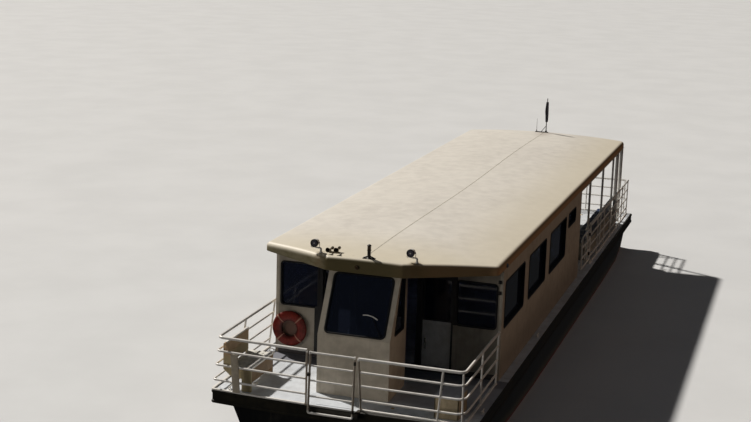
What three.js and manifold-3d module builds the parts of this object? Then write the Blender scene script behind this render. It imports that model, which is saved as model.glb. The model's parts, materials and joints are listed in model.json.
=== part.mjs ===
// A river passenger ferry about 20 m long: a decked scow hull with an overhanging deck, a glazed
// cabin under one long roof, a wheelhouse that stands out of the cabin's front, an open after deck
// with benches, and pipe rails with gates.
// Millimetres. X points forward, Y to port, Z up. The origin is at the waterline amidships.
import * as THREE from "three";
import { mergeVertices } from "three/addons/utils/BufferGeometryUtils.js";
import Module from "manifold-3d";

const wasm = await Module();
wasm.setup();

// Driving dimensions
const GAP = 0.3; // between pieces that touch
const RUNNING = 6; // round pieces that move

const DECK = 1050; // top of the deck above the waterline
const HALF_BEAM = 2635;
const BOW = 10070; // the deck's front corners
const BOW_BULGE = 100; // how far its middle stands out in front of them
const STERN = -9800;
const DECK_CORNER = 60;
const STRAKE_DEPTH = 260;
const STRAKE_WALL = 60;
const HULL_TOP = DECK - STRAKE_DEPTH - GAP;
const PAD = { wide: 90, thick: 8 }; // landing pads at the gates

const WALL = 60; // thickness of cabin walls
const CABIN_HALF = 2380; // outer face of the side walls
const CABIN_FRONT = 7420;
const CABIN_AFT = -1400;
const SILL = 1160; // bottom of the doorways

const ROOF_EDGE = 3515;
const ROOF_FASCIA = 180;
const ROOF_RISE = 100;
const ROOF_ROUND = 90; // radius of the roof's top edge
const ROOF_HALF = 2405;
const ROOF_FRONT = 7950;
const ROOF_BROW = 8910; // front edge over the wheelhouse
const BROW_HALF = 760;
const ROOF_AFT = -8550;
const CEILING = ROOF_EDGE - ROOF_FASCIA;

const POD_FRONT = 9425;
const POD_HALF = 720;
const POD_KNEE = 2215; // where the front starts to rake aft
const POD_TOP_X = 8830; // outer face of the windscreen frame at the ceiling
const POD_WALL = 40;
const POD_DOOR_X = 8385; // the side doorways run from here aft to the cabin front

const RAIL_TOP = 1060; // above the deck
const RAIL_LEVELS = [210, 510, 790];
const RAIL_TOP_R = 25;
const RAIL_R = 18;
const POST_R = 20;
const TOE = 44; // height of the toe rail
const GATE = { foot: -110, hinge: 290, latch: -580, lean: 75, clear: 65 }; // bow gate
const BOARDING = { hinge: -2700, latch: -1520 }; // gates in the side rails

const PROP_X = -8300;
const SHAFT_Z = -680;
const PROP_R = 295;
const RUDDER_X = -8950;

const SIDES = [
  { name: "port", y: 1 },
  { name: "starboard", y: -1 },
];

const PAINT = {
  hull: { color: 0x15161a, roughness: 0.5, metalness: 0.1 },
  strake: { color: 0x25241c, roughness: 0.7, metalness: 0 },
  deck: { color: 0xc9c7c0, roughness: 0.8, metalness: 0 },
  rail: { color: 0xe9e5d8, roughness: 0.45, metalness: 0.1 },
  wall: { color: 0xd6cfbd, roughness: 0.55, metalness: 0 },
  roof: { color: 0xd8d0ba, roughness: 0.6, metalness: 0 },
  glass: { color: 0x10141c, roughness: 0.08, metalness: 0 },
  dark: { color: 0x1c1b19, roughness: 0.5, metalness: 0.3 },
  grey: { color: 0x8d8f90, roughness: 0.5, metalness: 0.2 },
  seat: { color: 0x3b4a63, roughness: 0.6, metalness: 0 },
  orange: { color: 0xc2391c, roughness: 0.5, metalness: 0 },
  bronze: { color: 0x9a7440, roughness: 0.35, metalness: 1 },
  flag: { color: 0x23232b, roughness: 0.9, metalness: 0 },
};

// Solids

function solid(geometry) {
  const loose = geometry.index ? geometry.toNonIndexed() : geometry;
  const bare = new THREE.BufferGeometry();
  bare.setAttribute("position", loose.getAttribute("position"));
  const merged = mergeVertices(bare, 1e-3);
  const triVerts = new Uint32Array(merged.index.array);
  const vertProperties = merged.attributes.position.array;
  const made = new wasm.Manifold(new wasm.Mesh({ numProp: 3, vertProperties, triVerts }));
  if (made.volume() > 0) return made;
  for (let i = 0; i < triVerts.length; i += 3) {
    [triVerts[i + 1], triVerts[i + 2]] = [triVerts[i + 2], triVerts[i + 1]];
  }
  return new wasm.Manifold(new wasm.Mesh({ numProp: 3, vertProperties, triVerts }));
}

function joined(pieces) {
  return pieces.reduce((sum, piece) => sum.add(piece));
}

function cut(body, cutters) {
  return cutters.reduce((rest, cutter) => rest.subtract(cutter), body);
}

// Box between two corners, which may be given in either order.
function block([xa, ya, za], [xb, yb, zb]) {
  const g = new THREE.BoxGeometry(Math.abs(xb - xa), Math.abs(yb - ya), Math.abs(zb - za));
  return solid(g.translate((xa + xb) / 2, (ya + yb) / 2, (za + zb) / 2));
}

function polygon(points) {
  return new THREE.Shape(points.map(([a, b]) => new THREE.Vector2(a, b)));
}

function rectangle(a0, b0, a1, b1, r = 0) {
  const s = new THREE.Shape();
  if (!r) return polygon([[a0, b0], [a1, b0], [a1, b1], [a0, b1]]);
  s.moveTo(a0 + r, b0);
  s.lineTo(a1 - r, b0);
  s.absarc(a1 - r, b0 + r, r, -Math.PI / 2, 0);
  s.lineTo(a1, b1 - r);
  s.absarc(a1 - r, b1 - r, r, 0, Math.PI / 2);
  s.lineTo(a0 + r, b1);
  s.absarc(a0 + r, b1 - r, r, Math.PI / 2, Math.PI);
  s.lineTo(a0, b0 + r);
  s.absarc(a0 + r, b0 + r, r, Math.PI, Math.PI * 1.5);
  return s;
}

const X = new THREE.Vector3(1, 0, 0);
const Y = new THREE.Vector3(0, 1, 0);
const Z = new THREE.Vector3(0, 0, 1);
const ORIGIN = new THREE.Vector3();

// Outline in the plane of u and v through an origin, thick from one distance to another along u x v.
function plate(shape, u, v, from, to, origin = ORIGIN, curveSegments = 3) {
  const depth = to - from;
  const g = new THREE.ExtrudeGeometry(shape, { depth, bevelEnabled: false, curveSegments });
  g.translate(0, 0, from);
  const basis = new THREE.Matrix4().makeBasis(u, v, u.clone().cross(v));
  return solid(g.applyMatrix4(basis.setPosition(origin)));
}

// Outline in x and y, from z0 to z1.
function flat(shape, z0, z1, curveSegments) {
  return plate(shape, X, Y, z0, z1, ORIGIN, curveSegments);
}

// Outline in x and z, from y0 to y1.
function upright(shape, y0, y1, curveSegments) {
  return plate(shape, X, Z, -Math.max(y0, y1), -Math.min(y0, y1), ORIGIN, curveSegments);
}

// Outline in y and z, from x0 to x1.
function across(shape, x0, x1, curveSegments) {
  return plate(shape, Y, Z, x0, x1, ORIGIN, curveSegments);
}

// Closed skin through rings of points that run anticlockwise as seen from the last ring.
function skin(rings) {
  const count = rings[0].length;
  const triangles = [];
  rings.slice(1).forEach((next, i) => {
    const ring = rings[i];
    for (let k = 0; k < count; k++) {
      const l = (k + 1) % count;
      triangles.push(ring[k], ring[l], next[l], ring[k], next[l], next[k]);
    }
  });
  const last = rings[rings.length - 1];
  for (let k = 1; k < count - 1; k++) {
    triangles.push(rings[0][0], rings[0][k + 1], rings[0][k], last[0], last[k], last[k + 1]);
  }
  return solid(new THREE.BufferGeometry().setFromPoints(triangles));
}

// Round or square bar along straight runs, its corners mitred.
function bar(points, radius, sides = 6) {
  const path = points.map((p) => new THREE.Vector3(...p));
  const runs = path.slice(1).map((p, i) => p.clone().sub(path[i]).normalize());
  const u = (Math.abs(runs[0].z) > 0.9 ? X : Z).clone().cross(runs[0]).normalize();
  const v = runs[0].clone().cross(u);
  let ring = Array.from({ length: sides }, (_, k) => {
    const turn = ((k + 0.5) * 2 * Math.PI) / sides;
    const out = u.clone().multiplyScalar(radius * Math.cos(turn));
    return path[0].clone().add(out).addScaledVector(v, radius * Math.sin(turn));
  });
  const rings = [ring];
  path.slice(1).forEach((p, i) => {
    const run = runs[i];
    const normal = run.clone().add(runs[i + 1] ?? run).normalize();
    ring = ring.map((q) => {
      const ahead = p.clone().sub(q).dot(normal) / run.dot(normal);
      return q.clone().addScaledVector(run, ahead);
    });
    rings.push(ring);
  });
  return skin(rings);
}

// Body of revolution about an axis through a point; the profile gives radius and distance along it.
function turned(profile, axis, origin, segments = 16) {
  const g = new THREE.LatheGeometry(profile.map(([r, h]) => new THREE.Vector2(r, h)), segments);
  g.applyQuaternion(new THREE.Quaternion().setFromUnitVectors(Y, axis));
  return solid(g.translate(...origin));
}

function rod(axis, origin, length, radius, segments = 12) {
  return turned([[0, 0], [radius, 0], [radius, length], [0, length]], axis, origin, segments);
}

const ferry = new THREE.Group();

// Adds one sub-part; its solid is drawn about the place where its group stands.
function part(name, paint, body, at = [0, 0, 0]) {
  const m = body.getMesh();
  const g = new THREE.BufferGeometry();
  const v = new Float32Array(m.numVert * 3);
  for (let i = 0; i < m.numVert; i++) {
    v.set(m.vertProperties.subarray(i * m.numProp, i * m.numProp + 3), i * 3);
  }
  g.setAttribute("position", new THREE.BufferAttribute(v, 3));
  g.setIndex(new THREE.BufferAttribute(m.triVerts, 1));
  const material = new THREE.MeshStandardMaterial({ ...PAINT[paint], flatShading: true });
  const mesh = new THREE.Mesh(g, material);
  mesh.name = name;
  const place = new THREE.Group();
  place.position.set(...at);
  place.add(mesh);
  ferry.add(place);
}

// Hull and deck

// Deck outline, drawn in from the edge by an inset.
function deckOutline(inset) {
  const y = HALF_BEAM - inset;
  const x0 = STERN + inset;
  const x1 = BOW - inset;
  const r = DECK_CORNER - inset / 2;
  const lead = (r * BOW_BULGE) / HALF_BEAM;
  const s = new THREE.Shape();
  s.moveTo(x0 + r, -y);
  s.lineTo(x1 - r, -y);
  s.quadraticCurveTo(x1, -y, x1 + lead, -y + r);
  s.quadraticCurveTo(x1 + 2 * BOW_BULGE - lead, 0, x1 + lead, y - r);
  s.quadraticCurveTo(x1, y, x1 - r, y);
  s.lineTo(x0 + r, y);
  s.quadraticCurveTo(x0, y, x0, y - r);
  s.lineTo(x0, -y + r);
  s.quadraticCurveTo(x0, -y, x0 + r, -y);
  return s;
}

// Columns: x, half-breadth under the deck, half-breadth at the chine, keel height, chine height
const STATIONS = [
  [-9550, 2480, 2360, -120, -60],
  [-7700, 2540, 2470, -330, -220],
  [-5200, 2540, 2490, -550, -320],
  [3400, 2540, 2490, -550, -320],
  [6600, 2540, 2450, -480, -240],
  [8800, 2430, 2240, -220, 0],
  [9950, 2230, 2030, 180, 330],
];

const POCKET = { x: [-6550, -4650], y: 750, floor: -200 }; // engine space
const ENGINE = { x: [-6400, -4800], y: 450, top: 650 };
const HATCH = { x: [-6400, -4800], y: 480, lap: 60, thick: 40 };
const SKEG = { front: -3900, aft: -8100, half: 45, foot: -980, boss: 95, bossLength: 1000 };
const SHAFT_R = 30;
const SHAFT_REACH = 150; // how far the shaft and its bore run into the skeg
const STOCK = { r: 35, top: 200 };

// The plating's closed form, set lower by a drop.
function hullForm(drop) {
  return skin(STATIONS.map(([x, sheer, chine, keel, bilge]) =>
    [[0, keel], [chine, bilge], [sheer, HULL_TOP], [-sheer, HULL_TOP], [-chine, bilge]].map(
      ([y, z]) => new THREE.Vector3(x, y, z - drop),
    ),
  ));
}

function hull() {
  const pocket = block([POCKET.x[0], -POCKET.y, POCKET.floor], [POCKET.x[1], POCKET.y, DECK]);
  const stockBore = rod(Z, [RUDDER_X, 0, -500], 510 + STOCK.top, STOCK.r + RUNNING);
  return cut(hullForm(0), [pocket, stockBore]);
}

function skeg() {
  const fin = upright(polygon([
    [SKEG.front, 0],
    [SKEG.front - 1600, SKEG.foot + 40],
    [SKEG.aft, SKEG.foot],
    [SKEG.aft, 0],
  ]), -SKEG.half, SKEG.half);
  const boss = rod(X, [SKEG.aft, 0, SHAFT_Z], SKEG.bossLength, SKEG.boss);
  const shaftBore = rod(X, [SKEG.aft - 10, 0, SHAFT_Z], SHAFT_REACH + 20, SHAFT_R + RUNNING);
  return cut(joined([fin, boss]), [hullForm(GAP), shaftBore]);
}

// The deck carries a low pad for a gangway's foot at each gate.
function mainDeck() {
  const slab = flat(deckOutline(STRAKE_WALL + GAP), DECK - STRAKE_DEPTH, DECK, 5);
  const hole = block([HATCH.x[0], -HATCH.y, 0], [HATCH.x[1], HATCH.y, DECK + 10]);
  const padTop = DECK + PAD.thick;
  const padEdge = HALF_BEAM - STRAKE_WALL - 10;
  const pads = SIDES.map((side) => block(
    [BOARDING.hinge + 50, side.y * (padEdge - PAD.wide), DECK - 1],
    [BOARDING.latch - 30, side.y * padEdge, padTop],
  ));
  const bowPad = block(
    [BOW - 30 - PAD.wide, GATE.latch + 80, DECK - 1], [BOW - 30, GATE.hinge - 80, padTop],
  );
  return joined([slab.subtract(hole), ...pads, bowPad]);
}

const strakeOuter = flat(deckOutline(0), DECK - STRAKE_DEPTH, DECK, 5);
const strakeInner = flat(deckOutline(STRAKE_WALL), DECK - STRAKE_DEPTH - 10, DECK + 10, 5);

part("hull", "hull", hull());
part("skeg", "hull", skeg());
part("engine", "grey", block(
  [ENGINE.x[0], -ENGINE.y, POCKET.floor + GAP],
  [ENGINE.x[1], ENGINE.y, ENGINE.top],
));
part("main_deck", "deck", mainDeck());
part("strake", "strake", strakeOuter.subtract(strakeInner));

const hatchEdge = HATCH.y + HATCH.lap;
part("engine_hatch", "deck", block(
  [HATCH.x[0] - HATCH.lap, -2 * hatchEdge, GAP],
  [HATCH.x[1] + HATCH.lap, 0, HATCH.thick],
), [0, hatchEdge, DECK]);

// Stern gear

const BLADE = { count: 4, pitch: 0.75, thick: 14 };

function propeller() {
  const end = SKEG.aft - PROP_X + SHAFT_REACH - RUNNING;
  const hub = turned(
    [[0, -150], [45, -110], [80, 0], [80, 110], [SHAFT_R, 120], [SHAFT_R, end], [0, end]],
    X, ORIGIN, 14,
  );
  // Columns: half-chord, radius
  const edge = [[55, 50], [95, 130], [105, 200], [85, 260], [40, PROP_R]];
  const outline = polygon([...edge, ...edge.map(([chord, r]) => [-chord, r]).reverse()]);
  const blades = Array.from({ length: BLADE.count }, (_, k) => {
    const turn = new THREE.Quaternion().setFromAxisAngle(X, (k * 2 * Math.PI) / BLADE.count);
    const chord = new THREE.Vector3(Math.sin(BLADE.pitch), -Math.cos(BLADE.pitch), 0);
    return plate(outline, chord.applyQuaternion(turn), Z.clone().applyQuaternion(turn),
      -BLADE.thick / 2, BLADE.thick / 2);
  });
  return joined([hub, ...blades]);
}

part("propeller", "bronze", propeller(), [PROP_X, 0, SHAFT_Z]);

const RUDDER = { foot: -980, head: -300, stock: -400 };

function rudder() {
  const section = [[150, 0], [60, 28], [-60, 28], [-320, 6], [-320, -6], [-60, -28], [60, -28]];
  const blade = skin([RUDDER.foot, RUDDER.head].map((z) =>
    section.map(([x, y]) => new THREE.Vector3(x, y, z)),
  ));
  return blade.add(rod(Z, [0, 0, RUDDER.stock], STOCK.top - RUDDER.stock, STOCK.r));
}

part("rudder", "dark", rudder(), [RUDDER_X, 0, 0]);

// Cabin walls

// Columns: aft end, forward end, bottom, top
const SIDE_WINDOWS = [
  [5425, 7200, 2090, 3020],
  [3150, 4930, 2090, 3020],
  [710, 2640, 2090, 3020],
  [-580, 375, 2700, 3020],
];
const WINDOW_R = 60;
const GLASS = 8;
const LAP = 80; // how far the side glass runs past its windows

for (const side of SIDES) {
  const outer = side.y * CABIN_HALF;
  const inner = side.y * (CABIN_HALF - WALL);
  const wall = upright(rectangle(CABIN_AFT, DECK + GAP, CABIN_FRONT, CEILING - GAP), outer, inner);
  const holes = SIDE_WINDOWS.map(([x0, x1, z0, z1]) =>
    upright(rectangle(x0, z0, x1, z1, WINDOW_R), outer + side.y * 10, inner - side.y * 10),
  );
  part(`side_wall_${side.name}`, "wall", cut(wall, holes));
  // One pane behind all the windows, notched up where the last one is shallow.
  const [[, front, low, high], , [notch], [aft, , shallow]] = SIDE_WINDOWS;
  const pane = polygon([
    [front + LAP, low - LAP], [front + LAP, high + LAP], [aft - LAP, high + LAP],
    [aft - LAP, shallow - LAP], [notch - LAP, shallow - LAP], [notch - LAP, low - LAP],
  ]);
  const face = inner - side.y * GAP;
  part(`side_glazing_${side.name}`, "glass", upright(pane, face, face - side.y * GLASS));
}

const FRONT_WINDOW = { y: [1470, 2260], z: [2110, 3000] };
const FRONT_DOOR = { inner: 760, outer: 1360, top: 3010 };
const POD_PASSAGE = 640;
const DOOR = { thick: 45, lap: 20, gap: 10 }; // the leaves of the sliding doors
const TRACK = { above: [40, 80], below: [-80, -50] };
const BUOY = { y: -2050, z: 1610, outer: 375, section: 108, half: 55 };

function frontBulkhead() {
  const x0 = CABIN_FRONT - WALL;
  const half = CABIN_HALF - WALL - GAP;
  const wall = across(rectangle(-half, DECK + GAP, half, CEILING - GAP), x0, CABIN_FRONT);
  const { y: [w0, w1], z: [z0, z1] } = FRONT_WINDOW;
  const holes = [
    rectangle(w0, z0, w1, z1, WINDOW_R),
    rectangle(-w1, z0, -w0, z1, WINDOW_R),
    rectangle(FRONT_DOOR.inner, SILL, FRONT_DOOR.outer, FRONT_DOOR.top),
    rectangle(-FRONT_DOOR.outer, SILL, -FRONT_DOOR.inner, FRONT_DOOR.top),
    rectangle(-POD_PASSAGE, SILL, POD_PASSAGE, FRONT_DOOR.top),
  ].map((shape) => across(shape, x0 - 10, CABIN_FRONT + 10));
  // The sliding doors hang on a track above them and run in a guide below.
  const back = x0 - DOOR.gap - DOOR.thick;
  const tracks = SIDES.flatMap((side) => {
    const y0 = side.y * (FRONT_DOOR.inner - DOOR.lap);
    const y1 = side.y * (half - 10);
    const [a0, a1] = TRACK.above.map((z) => FRONT_DOOR.top + z);
    const [b0, b1] = TRACK.below.map((z) => SILL + z);
    return [block([back, y0, a0], [x0 + 1, y1, a1]), block([back, y0, b0], [x0 + 1, y1, b1])];
  });
  const cradle = block([CABIN_FRONT - 1, BUOY.y - 50, BUOY.z - BUOY.outer - 30],
    [CABIN_FRONT + 2 * BUOY.half, BUOY.y + 50, BUOY.z - BUOY.outer - GAP]);
  return joined([cut(wall, holes), ...tracks, cradle]);
}

part("front_bulkhead", "wall", frontBulkhead());

const PANE_X = CABIN_FRONT - 34;

for (const side of SIDES) {
  const [y0, y1] = side.y > 0 ? FRONT_WINDOW.y : FRONT_WINDOW.y.map((y) => -y).reverse();
  const [z0, z1] = FRONT_WINDOW.z;
  const pane = rectangle(y0 + GAP, z0 + GAP, y1 - GAP, z1 - GAP, WINDOW_R - GAP);
  part(`front_window_${side.name}`, "glass", across(pane, PANE_X, PANE_X + GLASS));
}

// The sliding doors, drawn from each leaf's starboard edge.
for (const side of SIDES) {
  const width = FRONT_DOOR.outer - FRONT_DOOR.inner + 2 * DOOR.lap;
  const [w0, z0, w1, z1] = [40, FRONT_WINDOW.z[0] + 15, width - 40, FRONT_DOOR.top - 20];
  const leaf = across(rectangle(0, SILL - 35, width, FRONT_DOOR.top + 25), 0, DOOR.thick);
  const hole = across(rectangle(w0, z0, w1, z1, WINDOW_R), -10, DOOR.thick + 10);
  const y0 = side.y > 0 ? FRONT_DOOR.inner - DOOR.lap : -FRONT_DOOR.outer - DOOR.lap;
  const at = [CABIN_FRONT - WALL - DOOR.gap - DOOR.thick, y0, 0];
  const pane = rectangle(w0 + GAP, z0 + GAP, w1 - GAP, z1 - GAP, WINDOW_R - GAP);
  part(`front_door_${side.name}`, "wall", leaf.subtract(hole), at);
  part(`front_door_glass_${side.name}`, "glass", across(pane, 18, 18 + GLASS), at);
}

// Wheelhouse

const rakeLength = Math.hypot(POD_FRONT - POD_TOP_X, CEILING - POD_KNEE);
const rake = new THREE.Vector3(POD_TOP_X - POD_FRONT, 0, CEILING - POD_KNEE).normalize();
const rakeOut = Y.clone().cross(rake);
const knee = new THREE.Vector3(POD_FRONT, 0, POD_KNEE);
const SCREEN = { half: 585, low: 62, high: rakeLength - 50, r: 70 };

// Outline of the pod's side, drawn in from the front by an inset.
function podSide(inset, aft) {
  const at = knee.clone().addScaledVector(rakeOut, -inset);
  const slope = rake.x / rake.z;
  const front = POD_FRONT - inset;
  const kneeZ = at.z + (front - at.x) / slope;
  const top = CEILING - GAP;
  return polygon([
    [aft, DECK + GAP], [front, DECK + GAP], [front, kneeZ], [at.x + (top - at.z) * slope, top],
    [aft, top],
  ]);
}

function podFront() {
  const outer = upright(podSide(0, POD_DOOR_X), -POD_HALF, POD_HALF);
  const wide = POD_HALF + 10;
  const aft = POD_DOOR_X - 20;
  const inside = joined([
    upright(podSide(POD_WALL, aft), -wide, wide),
    block([aft, -wide, DECK - 10], [POD_FRONT - POD_WALL, wide, DECK + 10]),
    block([aft, -wide, CEILING - 10], [POD_TOP_X - POD_WALL - 7, wide, CEILING + 10]),
  ]);
  const hole = plate(rectangle(-SCREEN.half, SCREEN.low, SCREEN.half, SCREEN.high, SCREEN.r),
    Y, rake, -POD_WALL - 20, 20, knee);
  return cut(outer, [inside, hole]);
}

part("wheelhouse_front", "wall", podFront());

const screenPane = rectangle(
  -SCREEN.half + GAP, SCREEN.low + GAP, SCREEN.half - GAP, SCREEN.high - GAP, SCREEN.r - GAP,
);
part("windscreen", "glass", plate(screenPane, Y, rake, -22, -22 + GLASS, knee));

// Quarter window beside the windscreen; its front edge is steeper than the windscreen's.
const QUARTER = { aft: 8570, z: [2265, 3285], front: [9144, 8790] };

function quarterWindow(drawnIn) {
  const [z0, z1] = QUARTER.z;
  const [front0, front1] = QUARTER.front;
  const aft = QUARTER.aft + drawnIn;
  return polygon([
    [aft, z0 + drawnIn], [front0 - 2 * drawnIn, z0 + drawnIn], [front1 - drawnIn, z1 - drawnIn],
    [aft, z1 - drawnIn],
  ]);
}

for (const side of SIDES) {
  const outer = side.y * POD_HALF;
  const inner = side.y * (POD_HALF - 50);
  const wall = upright(podSide(POD_WALL + GAP, POD_DOOR_X), outer, inner);
  const hole = upright(quarterWindow(0), outer + side.y * 10, inner - side.y * 10);
  part(`wheelhouse_side_${side.name}`, "wall", wall.subtract(hole));
  const pane = outer - side.y * 20;
  part(`quarter_window_${side.name}`, "glass",
    upright(quarterWindow(GAP), pane, pane - side.y * GLASS));
}

const CONSOLE = { face: 8830, front: 9300, half: 600 };
part("helm_console", "grey", upright(polygon([
  [CONSOLE.face, DECK + GAP], [CONSOLE.front, DECK + GAP], [CONSOLE.front, 2080],
  [CONSOLE.front - 170, 2090], [CONSOLE.face - 100, 1920], [CONSOLE.face - 100, 1770],
  [CONSOLE.face, 1720],
]), -CONSOLE.half, CONSOLE.half));

const HELM = { x: 8670, z: 1650, r: 210, rim: 14, hub: 35 };

function helmWheel() {
  const rim = turned(Array.from({ length: 7 }, (_, k) => {
    const turn = (k * Math.PI) / 3;
    return [HELM.r + HELM.rim * Math.cos(turn), HELM.rim * Math.sin(turn)];
  }), X, ORIGIN, 24);
  const aft = -25;
  const hub = rod(X, [aft, 0, 0], CONSOLE.face - HELM.x - aft - RUNNING, HELM.hub);
  const spokes = [0, 1, 2].map((k) => {
    const turn = (k * 2 * Math.PI) / 3;
    return bar([[0, 0, 0], [0, HELM.r * Math.sin(turn), HELM.r * Math.cos(turn)]], 10, 6);
  });
  return joined([rim, hub, ...spokes]);
}

part("helm_wheel", "dark", helmWheel(), [HELM.x, 0, HELM.z]);

const PILOT_SEAT_X = 8050;
part("pilot_seat", "seat", joined([
  rod(Z, [0, 0, GAP], 30, 220),
  rod(Z, [0, 0, 20], 480, 40),
  block([-230, -240, 480], [230, 240, 560]),
  block([-290, -230, 540], [-220, 230, 1080]),
]), [PILOT_SEAT_X, 0, DECK]);

// Closed cabin

const AFT_DOOR = { half: 450, top: 3080, thick: 40, clear: 10, lap: 20 };
const AFT_WINDOW = { y: [900, 1930], z: [2090, 3020] };

// One after window's outline on one side, drawn in from its hole.
function aftWindow(side, drawnIn) {
  const [y0, y1] = side.y > 0 ? AFT_WINDOW.y : AFT_WINDOW.y.map((y) => -y).reverse();
  const [z0, z1] = AFT_WINDOW.z;
  return rectangle(y0 + drawnIn, z0 + drawnIn, y1 - drawnIn, z1 - drawnIn, WINDOW_R - drawnIn);
}

function aftBulkhead() {
  const half = CABIN_HALF - WALL - GAP;
  const x1 = CABIN_AFT + WALL;
  const wall = across(rectangle(-half, DECK + GAP, half, CEILING - GAP), CABIN_AFT, x1);
  const doorway = rectangle(-AFT_DOOR.half, SILL, AFT_DOOR.half, AFT_DOOR.top);
  const holes = [doorway, ...SIDES.map((side) => aftWindow(side, 0))].map((shape) =>
    across(shape, CABIN_AFT - 10, x1 + 10));
  return cut(wall, holes);
}

part("aft_bulkhead", "wall", aftBulkhead());

for (const side of SIDES) {
  const x = CABIN_AFT + 26;
  part(`aft_window_${side.name}`, "glass", across(aftWindow(side, GAP), x, x + GLASS));
}

// The aft door hangs on the bulkhead's after face and swings aft.
{
  const width = 2 * (AFT_DOOR.half + AFT_DOOR.lap);
  const at = [CABIN_AFT - AFT_DOOR.clear - AFT_DOOR.thick, width / 2, 0];
  const [a0, b0, a1, b1] = [170, 2000, width - 170, 2900];
  const leaf = rectangle(-width, SILL - AFT_DOOR.lap, 0, AFT_DOOR.top + AFT_DOOR.lap);
  const hole = across(rectangle(-a1, b0, -a0, b1, WINDOW_R), -10, AFT_DOOR.thick + 10);
  const pane = rectangle(-a1 + GAP, b0 + GAP, -a0 - GAP, b1 - GAP, WINDOW_R - GAP);
  part("aft_door", "wall", across(leaf, 0, AFT_DOOR.thick).subtract(hole), at);
  part("aft_door_glass", "glass", across(pane, 16, 16 + GLASS), at);
}

// Benches along the sides, closed down to the deck.
const BENCH = { front: 1800, seat: 440, back: 850, foot: 90, top: 30 };

function sideBench(side, x0, x1, back) {
  const s = side.y;
  return across(polygon([
    [s * BENCH.front, DECK + GAP], [s * BENCH.front, DECK + BENCH.seat],
    [s * (back - BENCH.foot), DECK + BENCH.seat - 10], [s * (back - BENCH.top), DECK + BENCH.back],
    [s * back, DECK + BENCH.back], [s * back, DECK + GAP],
  ]), x0, x1);
}

for (const side of SIDES) {
  part(`cabin_seats_${side.name}`, "seat", sideBench(side, -1100, 6900, 2290));
}

// Roof

const CROWN_HALF = ROOF_HALF - ROOF_ROUND;

// Height of the roof's top at a distance from its ridge.
function roofTop(y) {
  return ROOF_EDGE + ROOF_RISE * (1 - Math.min(1, (y / CROWN_HALF) ** 2));
}

// What rounds the top edge between two corners of the roof's plan: the space outside a quarter
// round that follows the camber.
function roofCove([xa, ya], [xb, yb]) {
  const along = new THREE.Vector3(xb - xa, yb - ya, 0).normalize();
  const out = along.clone().cross(Z);
  const steps = 6;
  const past = 160; // each end runs past its corner
  return skin(Array.from({ length: steps + 1 }, (_, k) => {
    const foot = new THREE.Vector3(xa + ((xb - xa) * k) / steps, ya + ((yb - ya) * k) / steps, 0)
      .addScaledVector(out, -ROOF_ROUND);
    foot.z = roofTop(foot.y) - ROOF_ROUND;
    foot.addScaledVector(along, (k === steps ? past : 0) - (k === 0 ? past : 0));
    const at = (u, w) => foot.clone().addScaledVector(out, u).addScaledVector(Z, w);
    const arc = [0, 1, 2, 3, 4].map((i) => {
      const turn = (i * Math.PI) / 8;
      return at(ROOF_ROUND * Math.cos(turn), ROOF_ROUND * Math.sin(turn));
    });
    return [at(ROOF_ROUND + 30, ROOF_ROUND + 60), at(ROOF_ROUND + 30, 0), ...arc,
      at(0, ROOF_ROUND + 60)];
  }));
}

function roof() {
  const half = ROOF_HALF;
  const crown = Array.from({ length: 17 }, (_, k) => {
    const y = CROWN_HALF * (1 - k / 8);
    return [y, roofTop(y)];
  });
  const section = polygon([
    [-half, CEILING], [half, CEILING], [half, ROOF_EDGE], ...crown, [-half, ROOF_EDGE],
  ]);
  const body = across(section, ROOF_AFT, ROOF_BROW);
  const corners = [
    [ROOF_AFT, -half], [ROOF_FRONT, -half], [ROOF_BROW, -BROW_HALF], [ROOF_BROW, BROW_HALF],
    [ROOF_FRONT, half], [ROOF_AFT, half],
  ];
  const plan = flat(polygon(corners), CEILING - 10, ROOF_EDGE + ROOF_RISE + 10);
  const coves = corners.map((corner, k) => roofCove(corner, corners[(k + 1) % corners.length]));
  return cut(body.intersect(plan), coves);
}

part("roof", "roof", roof());

// After deck

const COLUMN_Y = CABIN_HALF - WALL / 2;
// Columns: x, radius
const AFT_COLUMNS = [[-2850, 30], [-5000, 30], [-6860, 30], [-7650, 50], [-8460, 50]];
const HEADER = { half: 30, deep: 75 };

for (const side of SIDES) {
  const y = side.y * COLUMN_Y;
  const posts = AFT_COLUMNS.map(([x, r]) =>
    rod(Z, [x, y, DECK + GAP], CEILING - DECK - 2 * GAP, r, 8));
  const header = block([ROOF_AFT + 30, y - HEADER.half, CEILING - HEADER.deep],
    [CABIN_AFT - GAP, y + HEADER.half, CEILING - GAP]);
  part(`aft_columns_${side.name}`, "rail", joined([...posts, header]));
  part(`aft_bench_${side.name}`, "seat", sideBench(side, -8250, -3100, 2270));
}

// Rails

// How each side's bow rail runs. The pairs are values at the deck and at the top rail: the side
// run's y, the front run's x, the corner's radius and the front posts' y. The rest is how far the
// front bulges with the deck's edge, where the rail ends aft and at the gate, its side posts' x,
// and whether a post stands in its corner.
const BOW_RAIL = {
  port: {
    y: [2365, 2385], x: [10040, 10240], bend: [220, 110], bulge: 0,
    aft: 7600, gateY: 386, side: [7625, 8900], front: [[386, 386], [1850, 1985]], cornerPost: true,
  },
  starboard: {
    y: [2610, 2480], x: [10040, 10030], bend: [60, 100], bulge: BOW_BULGE,
    aft: 7200, gateY: 660, side: [7225, 8745], front: [[660, 660]], cornerPost: false,
  },
};
const SPLICE = 60; // the side and front runs meet this far aft of the corner

// Value at a height above the deck, from its values at the deck and at the top rail.
function between([low, high], height) {
  return low + ((high - low) * height) / RAIL_TOP;
}

function railX(run, height, y) {
  return between(run.x, height) + run.bulge * (1 - (y / HALF_BEAM) ** 2);
}

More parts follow.
